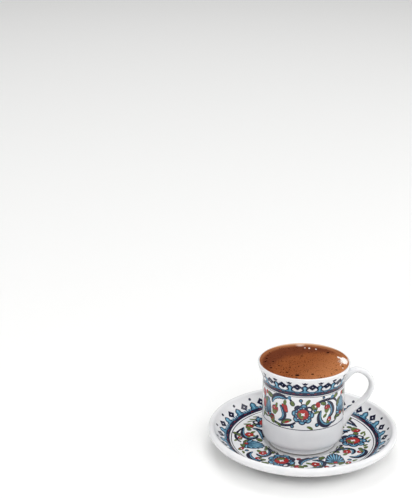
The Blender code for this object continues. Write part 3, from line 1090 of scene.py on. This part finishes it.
# half width of the flame-shaped arches, and height above the cobalt band
FLAME_EDGE = ((3.9, 0.0), (3.4, 1.5), (2.7, 1.8), (2.4, 2.3), (2.6, 2.8), (2.5, 3.3), (1.9, 4.0), (0.9, 4.6),
              (0.0, 5.0))
FLAME_FILL = ((3.4, 0.4), (2.7, 1.1), (1.8, 1.5), (1.6, 2.2), (1.9, 2.8), (1.8, 3.3), (1.1, 3.9), (0.0, 4.4))
FLAME_SHINE = ((0.4, 0.8), (0.35, 2.1), (0.7, 2.9), (0.7, 3.5), (0.0, 4.2))
# white flecks at the foot of the arches: beside them in shares of half a repeat, height and half sizes
FOOT_FLECKS = ((0.87, 0.95, 0.5, 0.33), (0.55, 0.9, 0.34, 0.3))
EDGE_STEP = 1.2

saucer_half_repeat = math.pi * SAUCER_DIAMOND_RADIUS / SAUCER_BORDER_REPEATS


def disc(radius):
    """A round outline about the saucer's axis."""
    return ellipse((0.0, 0.0), radius, radius, corners=int(math.tau * radius / EDGE_STEP))


def saucer_repeat(azimuth):
    """One repeat of the saucer's border: an arch with its dot, and the diamond after it."""
    def over_band(aside, out):
        return on_disc(azimuth + math.degrees(aside / SAUCER_DIAMOND_RADIUS), SAUCER_NAVY_BAND[1] + out)

    def over_diamond(aside, out):
        above = SAUCER_DIAMOND_RADIUS - SAUCER_NAVY_BAND[1]
        return over_band(aside + saucer_half_repeat, out + above)

    motif = arch(FLAME_EDGE, FLAME_FILL, FLAME_SHINE, over_band)
    motif += band_marks(saucer_half_repeat, over_band)
    for share, height, half_wide, half_high in FOOT_FLECKS:
        for side in (1, -1):
            fleck = over_band(side * saucer_half_repeat * share, height)
            motif.append((BARE, ellipse(fleck, half_high, half_wide, azimuth, corners=12)))
    height, half_wide, half_high = SAUCER_DOT
    motif.append((NAVY, ellipse(over_band(0.0, height), half_high, half_wide, azimuth, corners=12)))
    return motif + diamond(*SAUCER_DIAMOND, over_diamond)


rings = [(BLUE, disc(SAUCER_BLUE_EDGE)), (NAVY, disc(SAUCER_NAVY_BAND[1])), (BARE, disc(SAUCER_NAVY_BAND[0]))]
rings += [(NAVY, disc(SAUCER_LINE[1])), (BARE, disc(SAUCER_LINE[0]))]
border = []
step = 360.0 / SAUCER_BORDER_REPEATS
for repeat in range(SAUCER_BORDER_REPEATS):
    border += saucer_repeat(SAUCER_BORDER_TURN + step * (repeat - 0.5))
saucer_design = rings + border + saucer_design
print("saucer border", len(border), "outlines")

# %% [markdown]
# ## From drawing to print
#
# All outlines of a drawing go into one triangulation, which cuts them where they cross and says for
# each small triangle which outlines cover it. The last one painted wins, and the first one is the
# sheet's own edge. Long edges get extra points, and a grid of more points keeps the triangles small,
# so that they follow the curve of the wall when they are laid on it. The print then gets a thickness
# of a few hundredths of a millimetre, half of it sunk in the porcelain.

# %% Lay a drawing on the ware
PRINT_PROUD = 0.03
PRINT_THICKNESS = 0.06
GRID_STEP = 1.3
CUT_ACCURACY = 1e-5
PRINT_MERGE = 3e-6


def grid_points(low, high, keep):
    """A grid of points between two corners, each second row shifted, where keep says so."""
    points = []
    rows = int((high[1] - low[1]) / GRID_STEP)
    columns = int((high[0] - low[0]) / GRID_STEP)
    for row in range(rows + 1):
        for column in range(columns + 1):
            x = low[0] + (column + 0.5 * (row % 2)) * GRID_STEP
            y = low[1] + row * GRID_STEP
            if keep(x, y):
                points.append((x, y))
    return points


def painted(sheet_edge, design, extra):
    """Triangles of a drawing with the colour that is on top, as points, triples and colours."""
    points = [Vector(point) for point in extra]
    outlines = []
    layers = [(BARE, sheet_edge)] + design
    for _, outline in layers:
        area = sum(a[0] * b[1] - b[0] * a[1] for a, b in zip(outline, outline[1:] + outline[:1]))
        ordered = outline if area > 0 else outline[::-1]
        first = len(points)
        for start, end in zip(ordered, ordered[1:] + ordered[:1]):
            points.append(Vector(start))
            pieces = math.ceil(math.dist(start, end) / EDGE_STEP)
            points += [Vector(start).lerp(Vector(end), piece / pieces) for piece in range(1, pieces)]
        outlines.append(list(range(first, len(points))))
    cut = delaunay_2d_cdt(points, [], outlines, 0, CUT_ACCURACY)
    corners, triangles, covers = cut[0], cut[2], cut[5]
    kept = []
    colours = []
    for triangle, cover in zip(triangles, covers):
        colour = layers[max(cover)][0] if 0 in cover else BARE
        if colour != BARE:
            kept.append(triangle)
            colours.append(colour)
    return corners, kept, colours


def printed(name, sheet_edge, design, extra, lay, materials):
    """Make the printed piece, with lay giving the place on the ware of a point of the drawing."""
    corners, triangles, colours = painted(sheet_edge, design, extra)
    used = sorted({corner for triangle in triangles for corner in triangle})
    new_index = {corner: index for index, corner in enumerate(used)}
    mesh = bpy.data.meshes.new(name)
    mesh.from_pydata([lay(*corners[corner]) for corner in used], [],
                     [[new_index[corner] for corner in triangle] for triangle in triangles])
    for material in materials:
        mesh.materials.append(material)
    mesh.polygons.foreach_set("material_index", colours)
    piece = bpy.data.objects.new(name, mesh)
    bpy.context.scene.collection.objects.link(piece)
    pick(piece)
    bpy.ops.object.mode_set(mode="EDIT")
    bpy.ops.mesh.select_all(action="SELECT")
    bpy.ops.mesh.remove_doubles(threshold=PRINT_MERGE)
    bpy.ops.mesh.dissolve_degenerate(threshold=PRINT_MERGE)
    bpy.ops.object.mode_set(mode="OBJECT")
    use_modifier(piece, "SOLIDIFY", thickness=PRINT_THICKNESS * MM, offset=-1.0)
    smooth(piece, CREASE_ANGLE)
    return piece


print("print", PRINT_THICKNESS, "mm thick, on a grid of", GRID_STEP, "mm")

# %% [markdown]
# ## Glaze and colours under it
#
# Hard porcelain is white with a slightly cold cast, under a clear glaze that fires as smooth as
# glass: the eye sees soft broad reflections over an even white. The print colours are metal oxides:
# cobalt gives the near-black blue, copper the turquoise, iron the red, and chrome with iron the olive
# green. They lie under the same glaze, so they shine in the same way, and they are a little uneven
# where the transfer took up more or less colour. Each colour could have a shader of its own, but one
# function with two near shades for each keeps the shine alike. The ring that the cup stands on in the
# kiln must be wiped bare of glaze, or it would stick, so it stays matt. Its dark grey-brown colour is
# painted shade: it stands in for the shadow in the thin gap where the cup meets the saucer, and it
# reads as a thin dull line there.

# %% Glazed materials
GLAZE_ROUGHNESS = 0.09
GLAZE_IOR = 1.5
GLAZE_RIPPLE = 2.6
GLAZE_RIPPLE_DEPTH = 0.006
# the part of the noise's range over which the deep shade turns to the light one
SHADE_LOW = 0.25
SHADE_HIGH = 0.75
BISCUIT_ROUGHNESS = 0.8
BARE_SHADED_RING_MARGIN = 0.1


def glaze(name, light, deep, patch):
    """A glazed colour that varies between two shades in patches of a size in millimetres."""
    material, tree, place, shader = new_material(name)
    patches = add_node(tree, "ShaderNodeTexNoise", {
        "Vector": place,
        "Scale": 1 / (patch * MM),
        "Detail": 3.0,
    })
    spread = add_node(tree, "ShaderNodeMapRange", {
        "Value": patches.outputs["Fac"],
        "From Min": SHADE_LOW,
        "From Max": SHADE_HIGH,
    })
    blend = add_node(tree, "ShaderNodeMix", data_type="RGBA", inputs={
        "Factor": spread.outputs["Result"],
        COLOUR_A: linear(deep),
        COLOUR_B: linear(light),
    })
    tree.links.new(blend.outputs[COLOUR_RESULT], shader.inputs["Base Color"])
    ripple = add_node(tree, "ShaderNodeTexNoise", {
        "Vector": place,
        "Scale": 1 / (GLAZE_RIPPLE * MM),
        "Detail": 1.0,
    })
    bump = add_node(tree, "ShaderNodeBump", {
        "Height": ripple.outputs["Fac"],
        "Distance": GLAZE_RIPPLE_DEPTH * MM,
        "Strength": 1.0,
    })
    tree.links.new(bump.outputs["Normal"], shader.inputs["Normal"])
    set_inputs(shader, Roughness=GLAZE_ROUGHNESS, IOR=GLAZE_IOR)
    return material


porcelain = glaze("porcelain_clear_glaze", "#EDEDEE", "#E6E6E8", 9.0)
print_colours = [
    glaze("cobalt_underglaze", "#1A1D40", "#10122C", 1.6),
    glaze("copper_turquoise_underglaze", "#5591AD", "#386C8A", 1.8),
    glaze("pale_turquoise_underglaze", "#93C6DA", "#74ABC6", 1.5),
    glaze("iron_red_underglaze", "#B92F28", "#8E161B", 1.7),
    glaze("olive_green_underglaze", "#6A7A3B", "#445627", 1.7),
]
# painted shade: the bare ring is dark grey-brown for the shadow in the gap over the saucer
shaded_biscuit, tree, place, shader = new_material("bare_porcelain_painted_shade")
set_inputs(shader, Base_Color=linear("#6E645B"), Roughness=BISCUIT_ROUGHNESS, IOR=GLAZE_IOR)
saucer.data.materials.append(porcelain)
cup.data.materials.append(porcelain)
cup.data.materials.append(shaded_biscuit)
bare_shaded_below = (cup_base + FOOT_BARE_SHADED_EDGE[1]) * MM
bare_shaded_from = (FOOT_RECESS[0] + BARE_SHADED_RING_MARGIN) * MM
# the faces of the bare ring get the painted shade
for face in cup.data.polygons:
    bare = face.center.z < bare_shaded_below and math.hypot(face.center.x, face.center.y) > bare_shaded_from
    face.material_index = 1 if bare else 0
print("glazes", len(print_colours) + 1)

# %% Print the cup
CUP_PRINT_LOW = 20.0
CUP_PRINT_HIGH = 54.9
GRID_MARGIN = 0.7
SLOPE_STEP = 0.2

# each point of the wall with its height first, so that height_at reads off a radius at a height
outer_wall = sorted((height, radius) for radius, height in cup_outside)


def slope_at(outline, place):
    """How steeply an outline rises at a place along it."""
    rise = height_at(outline, place + SLOPE_STEP) - height_at(outline, place - SLOPE_STEP)
    return rise / (2 * SLOPE_STEP)


def on_cup(x, y):
    """The place on the cup's wall of a point of the cup's drawing."""
    slope = slope_at(outer_wall, y)
    length = math.hypot(1.0, slope)
    radius = height_at(outer_wall, y) + PRINT_PROUD / length
    height = y - PRINT_PROUD * slope / length
    angle = x / CUP_BODY_RADIUS
    return Vector((radius * math.cos(angle), radius * math.sin(angle), cup_base + height)) * MM


cup_grid = grid_points((GRID_MARGIN, CUP_PRINT_LOW), (cup_turn - GRID_MARGIN, CUP_PRINT_HIGH),
                       lambda x, y: True)
cup_sheet = strip(CUP_PRINT_LOW, CUP_PRINT_HIGH)
cup_print = printed("cup_print", cup_sheet, cup_design, cup_grid, on_cup, print_colours)
print("cup print", len(cup_print.data.polygons), "faces")

# %% Print the saucer
SAUCER_PRINT_INNER = 24.5
SAUCER_PRINT_OUTER = 59.0


def on_saucer(x, y):
    """The place on the saucer's upper side of a point of the saucer's drawing."""
    radius = math.hypot(x, y)
    slope = slope_at(saucer_top, radius)
    length = math.hypot(1.0, slope)
    share = (radius - PRINT_PROUD * slope / length) / radius
    height = height_at(saucer_top, radius) + PRINT_PROUD / length
    return Vector((x * share, y * share, height)) * MM


def on_printed_ring(x, y):
    """Whether a point of the saucer's drawing is where the print can be."""
    return SAUCER_PRINT_INNER < math.hypot(x, y) < SAUCER_PRINT_OUTER


saucer_grid = grid_points((-SAUCER_PRINT_OUTER, -SAUCER_PRINT_OUTER),
                          (SAUCER_PRINT_OUTER, SAUCER_PRINT_OUTER), on_printed_ring)
saucer_sheet = disc(SAUCER_PRINT_OUTER)
saucer_print = printed("saucer_print", saucer_sheet, saucer_design, saucer_grid, on_saucer, print_colours)
print("saucer print", len(saucer_print.data.polygons), "faces")

# %% [markdown]
# ## Coffee
#
# Turkish coffee is boiled with its grounds and poured with its foam, so the cup shows a soft brown skin
# of very fine bubbles, with some larger ones open or still domed. The skin is a triangulated sheet with
# rings of points at each bubble, so that every open bubble is a real pit with a crisp edge. The sheet
# is joined to the turned body of the drink, which reaches just into the cup's wall. Where the drink
# swung against the lip it left a thin film, so the outline of the body goes on up to near the crest.

# %% Coffee body
COFFEE_BELOW_RIM = 0.9
MENISCUS_HEIGHT = 0.3
MENISCUS_WIDTH = 1.4
INTO_WALL = 0.08
FILM = 0.05
FILM_TOP = 104

coffee_level = cup_rim - COFFEE_BELOW_RIM
edge_height = coffee_level + MENISCUS_HEIGHT
edge_angle = 180 - math.degrees(math.asin((edge_height - CUP_LIP_CENTRE[1]) / (CUP_LIP_RADIUS + FILM)))
film = arc(CUP_LIP_CENTRE, CUP_LIP_RADIUS + FILM, edge_angle, FILM_TOP, steps=8)
edge_radius = film[0][0]
under_film = arc(CUP_LIP_CENTRE, CUP_LIP_RADIUS - INTO_WALL, FILM_TOP, CUP_LIP_START, steps=8)
wetted = [(radius + INTO_WALL, height) for radius, height in cup_inside[2:-1]]
body_outline = film + under_film + wetted[::-1]
body_outline += [(CUP_FLOOR[0], CUP_FLOOR[1] - INTO_WALL), (0.0, CUP_FLOOR[1] - INTO_WALL)]
coffee = turned("coffee_foam", body_outline, cup_base)
print("coffee edge radius", round(edge_radius, 2), "mm, level", round(cup_base + coffee_level, 2), "mm")

# %% Bubbles of the foam
BUBBLE_SEED = 7
# x, y and radius of the open bubbles that stand out, in millimetres from the cup's axis
OPEN_BUBBLES = (
    (0.6, 9.8, 0.75),
    (18.8, 13.1, 0.95),
    (-23.1, 9.4, 0.8),
    (-19.9, 3.3, 0.75),
    (-23.1, -5.9, 0.95),
    (-17.4, -3.2, 0.7),
    (-14.3, -14.4, 0.95),
    (-8.7, -19.8, 1.4),
    (1.3, -19.7, 0.95),
    (-10.9, -7.0, 0.65),
    (-5.0, -6.2, 0.5),
    (17.9, -15.3, 0.8),
    (23.2, -10.2, 0.75),
    (5.6, -25.6, 0.6),
    (-10.0, -24.0, 0.75),
    (-24.8, 4.4, 0.75),
    (-20.0, -8.4, 0.5),
    (-18.5, -14.1, 0.5),
    (-15.7, -9.8, 0.45),
    (-12.3, -20.1, 0.6),
    (-6.2, -16.6, 0.4),
    (13.3, -20.9, 0.5),
    (8.2, -23.0, 0.45),
    (-8.9, 2.9, 0.45),
    (-8.0, -13.2, 0.4),
    (-2.4, -13.0, 0.4),
    (-21.5, 14.0, 0.5),
)
OPEN_CORNERS = 20
FINE_BUBBLES = 1700
FINE_CORNERS = 8
FINE_SMALLEST = 0.1
FINE_LARGEST = 0.4
# the higher this power, the fewer of the fine bubbles come near the largest size
FINE_RARITY = 4
BUBBLE_SPACE = 0.07
BUBBLE_FREE_EDGE = 1.2
# the fine bubbles gather in the direction of this azimuth, up to this many times denser
GATHER_TURN = math.radians(235)
GATHERED = 3.5

dice = random.Random(BUBBLE_SEED)
bubbles = list(OPEN_BUBBLES)
while len(bubbles) < len(OPEN_BUBBLES) + FINE_BUBBLES:
    distance = (edge_radius - BUBBLE_FREE_EDGE) * math.sqrt(dice.random())
    turn = math.tau * dice.random()
    size = FINE_SMALLEST + (FINE_LARGEST - FINE_SMALLEST) * dice.random() ** FINE_RARITY
    x = distance * math.cos(turn)
    y = distance * math.sin(turn)
    gathered = 0.5 + 0.5 * distance / edge_radius * math.cos(turn - GATHER_TURN)
    if dice.random() > (1 + (GATHERED - 1) * gathered) / GATHERED:
        continue
    if all(math.hypot(x - bx, y - by) > size + bs + BUBBLE_SPACE for bx, by, bs in bubbles):
        bubbles.append((x, y, size))
print("open bubbles", len(bubbles))

# %% Points of the foam
FOAM_GRID = 0.6
FOAM_WAVE = 0.05
FOAM_WAVE_LENGTH = 7.0
# radius in shares of the bubble's, depth in shares of it, and how far inside the pit that ring is
PIT_RINGS = ((1.25, 0.0, 0.0), (1.08, -0.05, 0.0), (1.0, 0.25, 1.0), (0.65, 0.8, 1.0))
PIT_BOTTOM = 0.9
# a ring with more than this share lies on the foam, outside the small wall round the pit
PIT_WALL_SHARE = 1.1


def foam_height(x, y):
    """The level of the foam above the cup's foot, drawn up at the wall, with a gentle wave."""
    distance = math.hypot(x, y)
    climb = max(0.0, 1.0 - (edge_radius - distance) / MENISCUS_WIDTH)
    calm = min(1.0, (edge_radius - distance) / MENISCUS_WIDTH)
    wave = noise.noise(Vector((x, y, 0.0)) / FOAM_WAVE_LENGTH) * FOAM_WAVE * calm
    return coffee_level + MENISCUS_HEIGHT * climb ** 3 + wave


def clear_of_bubbles(x, y):
    """Whether a point of the foam is outside the widest ring of every bubble."""
    return all(math.hypot(x - bx, y - by) > bs * PIT_RINGS[0][0] for bx, by, bs in bubbles)


# x, y, height above the cup's foot, and how far inside a pit: first the edge, then the grid
foam_edge = ellipse((0.0, 0.0), edge_radius, edge_radius, corners=TURN_STEPS)
spots = [(x, y, edge_height, 0.0) for x, y in foam_edge]
inside = edge_radius - FOAM_GRID / 2
grid_lines = range(int(-inside / FOAM_GRID), int(inside / FOAM_GRID) + 1)
for row in grid_lines:
    for column in grid_lines:
        x = (column + 0.5 * (row % 2)) * FOAM_GRID
        y = row * FOAM_GRID
        if math.hypot(x, y) < inside and clear_of_bubbles(x, y):
            spots.append((x, y, foam_height(x, y), 0.0))
for bx, by, size in bubbles:
    corners = OPEN_CORNERS if size > FINE_LARGEST else FINE_CORNERS
    level = foam_height(bx, by)
    for share, depth, hollow in PIT_RINGS:
        for x, y in ellipse((bx, by), size * share, size * share, corners=corners):
            height = foam_height(x, y) if share > PIT_WALL_SHARE else level - depth * size
            spots.append((x, y, height, hollow))
    spots.append((bx, by, level - PIT_BOTTOM * size, 1.0))
print("points of the foam", len(spots))

# %% Foam sheet
FOAM_CREASE_ANGLE = 60.0

cut = delaunay_2d_cdt([Vector(spot[:2]) for spot in spots], [], [list(range(TURN_STEPS))], 1, CUT_ACCURACY)
sources = [spots[origins[0]] for origins in cut[3]]
sheet_mesh = bpy.data.meshes.new("foam_sheet")
sheet_mesh.from_pydata([Vector((x, y, cup_base + height)) * MM for x, y, height, _ in sources], [], cut[2])
pits = sheet_mesh.attributes.new("hollow", "FLOAT", "POINT")
pits.data.foreach_set("value", [source[3] for source in sources])
sheet = bpy.data.objects.new("foam_sheet", sheet_mesh)
bpy.context.scene.collection.objects.link(sheet)
pick(coffee, sheet)
bpy.ops.object.join()
bpy.ops.object.mode_set(mode="EDIT")
close_seams()
smooth(coffee, FOAM_CREASE_ANGLE)
print("coffee", len(coffee.data.polygons), "faces")

# %% [markdown]
# ## Foam as a material
#
# The skin is a wet, fat-rich froth of very small bubbles: matt from afar, with a broad soft shine, and
# warm brown rather than red. Light and shade are painted into its colour. It is lighter towards the lit
# front right, darker in painted shade towards the back left, and two pale painted highlights lie at the
# wall. Where it dries on the wall it leaves a pale tan line. The open bubbles show the dark drink below.
# One noise pattern could mix all these tones, but it would put them anywhere. So each tone is laid over
# the last one by a measure of its own: a distance, a direction, a fine noise, or the pits in the mesh.

# %% Measures of the foam
# the finest bubbles, of about 0.1 mm, would not show, so the specks are drawn this coarse
FOAM_SPECK = 0.5
# the border of the painted shade wanders in and out by this sway, over patches of this size
FOAM_SWAY = 3.5
FOAM_PATCH = 5.0
# painted shade: the foam is darker away from a round patch about this place, from the first distance to the
# second
UNSHADED_PATCH = (8.0, -20.5)
BACK_SHADE_FROM = 29.5
BACK_SHADE_TO = 39.0
# painted light: the foam is lightest in this direction, the side that the light falls on
LIT_SIDE = (0.75, -0.66)
LIT_SIDE_FROM = -2.0
LIT_SIDE_TO = 31.0
# the edge, where the froth is drawn up the wall, a little wider at the back
EDGE_CENTRE = (-0.3, -1.3)
EDGE_FROM = 26.0
EDGE_TO = 29.4
DRY_LINE_FROM = 29.4
DRY_LINE_TO = 30.1
# painted highlights, pale at the wall: the centre, where each ends and where it is full
PAINTED_HIGHLIGHTS = (((26.0, -2.6), 5.0, 2.0), ((3.2, 28.4), 4.2, 0.8))

material, tree, place, shader = new_material("coffee_foam_wet")
specks = add_node(tree, "ShaderNodeTexNoise", {
    "Vector": place,
    "Scale": 1 / (FOAM_SPECK * MM),
    "Detail": 2.0,
}).outputs["Fac"]
patches = add_node(tree, "ShaderNodeTexNoise", {
    "Vector": place,
    "Scale": 1 / (FOAM_PATCH * MM),
    "Detail": 4.0,
}).outputs["Fac"]
sway = add_node(tree, "ShaderNodeMapRange", {
    "Value": patches,
    "To Min": -FOAM_SWAY * MM,
    "To Max": FOAM_SWAY * MM,
}).outputs["Result"]
toward_lit_side = add_node(tree, "ShaderNodeVectorMath", operation="DOT_PRODUCT", inputs={
    0: place,
    1: (*LIT_SIDE, 0.0),
}).outputs["Value"]

# the level distances from the unshaded patch's middle, the edge's centre and the painted highlights
level = add_node(tree, "ShaderNodeMapping", {"Vector": place, "Scale": (1.0, 1.0, 0.0)})
distances = []
for centre in [UNSHADED_PATCH, EDGE_CENTRE] + [patch[0] for patch in PAINTED_HIGHLIGHTS]:
    distances.append(add_node(tree, "ShaderNodeVectorMath", operation="DISTANCE", inputs={
        0: level.outputs["Vector"],
        1: [value * MM for value in (*centre, 0.0)],
    }).outputs["Value"])
from_unshaded, outward, *from_highlights = distances
swayed = add_node(tree, "ShaderNodeMath", {0: from_unshaded, 1: sway}).outputs["Value"]
print("distances measured in the foam", len(distances))

# %% Foam material
FOAM_SPECK_DEPTH = 0.03
# what a colour follows, where it begins and where it is full, how much it then covers, and the colour
foam_colours = [
    # painted light, lighter towards the lit side
    (toward_lit_side, LIT_SIDE_FROM * MM, LIT_SIDE_TO * MM, 1.0, "#BD7A4C"),
    (specks, 0.5, 0.75, 0.35, "#BA794A"),
    (specks, 0.46, 0.3, 0.4, "#6A3416"),
    # painted shade, darker towards the back left
    (swayed, BACK_SHADE_FROM * MM, BACK_SHADE_TO * MM, 1.0, "#6A331A"),
    (outward, EDGE_FROM * MM, EDGE_TO * MM, 0.65, "#B0724A"),
]
# painted highlights at the wall
for distance, (_, end, full) in zip(from_highlights, PAINTED_HIGHLIGHTS):
    foam_colours.append((distance, end * MM, full * MM, 0.7, "#E3CBBE"))
foam_colours.append((outward, DRY_LINE_FROM * MM, DRY_LINE_TO * MM, 1.0, "#DDB796"))

froth = linear("#8B4A23")
for measure, begins, full, most, colour in foam_colours:
    cover = add_node(tree, "ShaderNodeMapRange", interpolation_type="SMOOTHSTEP", inputs={
        "Value": measure,
        "From Min": begins,
        "From Max": full,
        "To Max": most,
    })
    froth = add_node(tree, "ShaderNodeMix", data_type="RGBA", inputs={
        "Factor": cover.outputs["Result"],
        COLOUR_A: froth,
        COLOUR_B: linear(colour),
    }).outputs[COLOUR_RESULT]
pit = add_node(tree, "ShaderNodeAttribute", attribute_name="hollow")
froth = add_node(tree, "ShaderNodeMix", data_type="RGBA", inputs={
    "Factor": pit.outputs["Fac"],
    COLOUR_A: froth,
    COLOUR_B: linear("#260D07"),
}).outputs[COLOUR_RESULT]
tree.links.new(froth, shader.inputs["Base Color"])
bump = add_node(tree, "ShaderNodeBump", {
    "Height": specks,
    "Distance": FOAM_SPECK_DEPTH * MM,
    "Strength": 1.0,
})
tree.links.new(bump.outputs["Normal"], shader.inputs["Normal"])
set_inputs(shader, Roughness=0.32, IOR=1.36, Specular_IOR_Level=0.08)
coffee.data.materials.append(material)
print("foam material with", len(tree.nodes), "nodes")

# %% [markdown]
# ## Domed bubbles
#
# Some bubbles are still closed: thin wet domes that pile up where the pour pushed them against the
# wall. One small dome is modelled, by cutting a sphere, and copied to each place at its own size. The
# film of water and coffee fat is very smooth and catches the light from all round, so the eye sees a
# pale bead with a sharp glint. Glass-clear domes would show the dark drink instead, so the film is
# given a near-white colour, which is a painted reflection of the bright light round it.

# %% Domed bubbles
DOME_SEGMENTS = 20
DOME_RINGS = 12
# x, y and radius
DOMES = (
    (8.0, 21.6, 0.7),
    (12.1, 19.5, 0.55),
    (5.3, 22.6, 0.45),
    (23.5, 4.6, 0.6),
    (24.0, 3.6, 0.8),
    (24.9, 2.1, 0.9),
    (26.4, 2.6, 0.7),
    (25.9, 1.2, 0.9),
    (27.0, 1.2, 0.8),
    (25.0, 0.0, 0.8),
    (26.3, -0.6, 1.0),
    (27.5, -0.7, 0.7),
    (25.2, -1.6, 1.0),
    (26.9, -2.0, 1.0),
    (25.6, -3.4, 1.0),
    (24.3, -2.8, 0.6),
    (27.3, -3.6, 0.8),
    (26.3, -4.8, 0.9),
    (24.9, -4.9, 0.7),
    (27.1, -5.4, 0.6),
    (25.4, -6.3, 0.7),
    (26.4, -6.9, 0.6),
    (23.5, -5.4, 0.4),
    (22.4, -7.8, 0.4),
    (22.6, -13.2, 0.45),
)
DOME_SUNK = 0.25
DOME_CREASE_ANGLE = 50.0

bpy.ops.object.select_all(action="DESELECT")
bpy.ops.mesh.primitive_uv_sphere_add(segments=DOME_SEGMENTS, ring_count=DOME_RINGS, radius=MM)
dome = bpy.context.object
bpy.ops.object.mode_set(mode="EDIT")
bpy.ops.mesh.select_all(action="SELECT")
bpy.ops.mesh.bisect(plane_co=(0.0, 0.0, 0.0), plane_no=(0.0, 0.0, 1.0), clear_inner=True, use_fill=True)
bpy.ops.object.mode_set(mode="OBJECT")
copies = []
for x, y, size in DOMES:
    pick(dome)
    bpy.ops.object.duplicate()
    copy = bpy.context.object
    copy.scale = (size, size, size)
    copy.location = Vector((x, y, cup_base + foam_height(x, y) - DOME_SUNK * size)) * MM
    copies.append(copy)
bpy.data.objects.remove(dome)
pick(*copies)
bpy.ops.object.join()
domes = bpy.context.object
domes.name = "foam_domes"
bpy.ops.object.transform_apply(location=True, rotation=True, scale=True)
smooth(domes, DOME_CREASE_ANGLE)
print("domes", len(DOMES))

# %% Film of the domes, with painted glare
DOME_GLARE_PATCH = 0.8

material, tree, place, shader = new_material("bubble_film_painted_glare")
tint = add_node(tree, "ShaderNodeTexNoise", {"Vector": place, "Scale": 1 / (DOME_GLARE_PATCH * MM)})
# painted reflection: the film is near white, the colour of the bright light it mirrors
painted_glare_colour = add_node(tree, "ShaderNodeMix", data_type="RGBA", inputs={
    "Factor": tint.outputs["Fac"],
    COLOUR_A: linear("#F4EAE4"),
    COLOUR_B: linear("#FCFAF9"),
})
tree.links.new(painted_glare_colour.outputs[COLOUR_RESULT], shader.inputs["Base Color"])
set_inputs(shader, Roughness=0.05, IOR=1.36)
domes.data.materials.append(material)
print("film colours from a pattern of", DOME_GLARE_PATCH, "mm")

# %% [markdown]
# ## Hand the pieces over
#
# Saucer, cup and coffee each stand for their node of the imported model, and the prints and the domes
# are added to them. All of them ride on the one body, because nothing on the object moves.

# %% Hand over
for piece, node, slot in ((saucer, "saucer", "saucer_porcelain"), (cup, "cup", "cup_porcelain"),
                          (coffee, "coffee", "coffee_foam")):
    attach(piece, "root")
    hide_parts(node)
for piece in (cup_print, saucer_print, domes):
    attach(piece, "root")
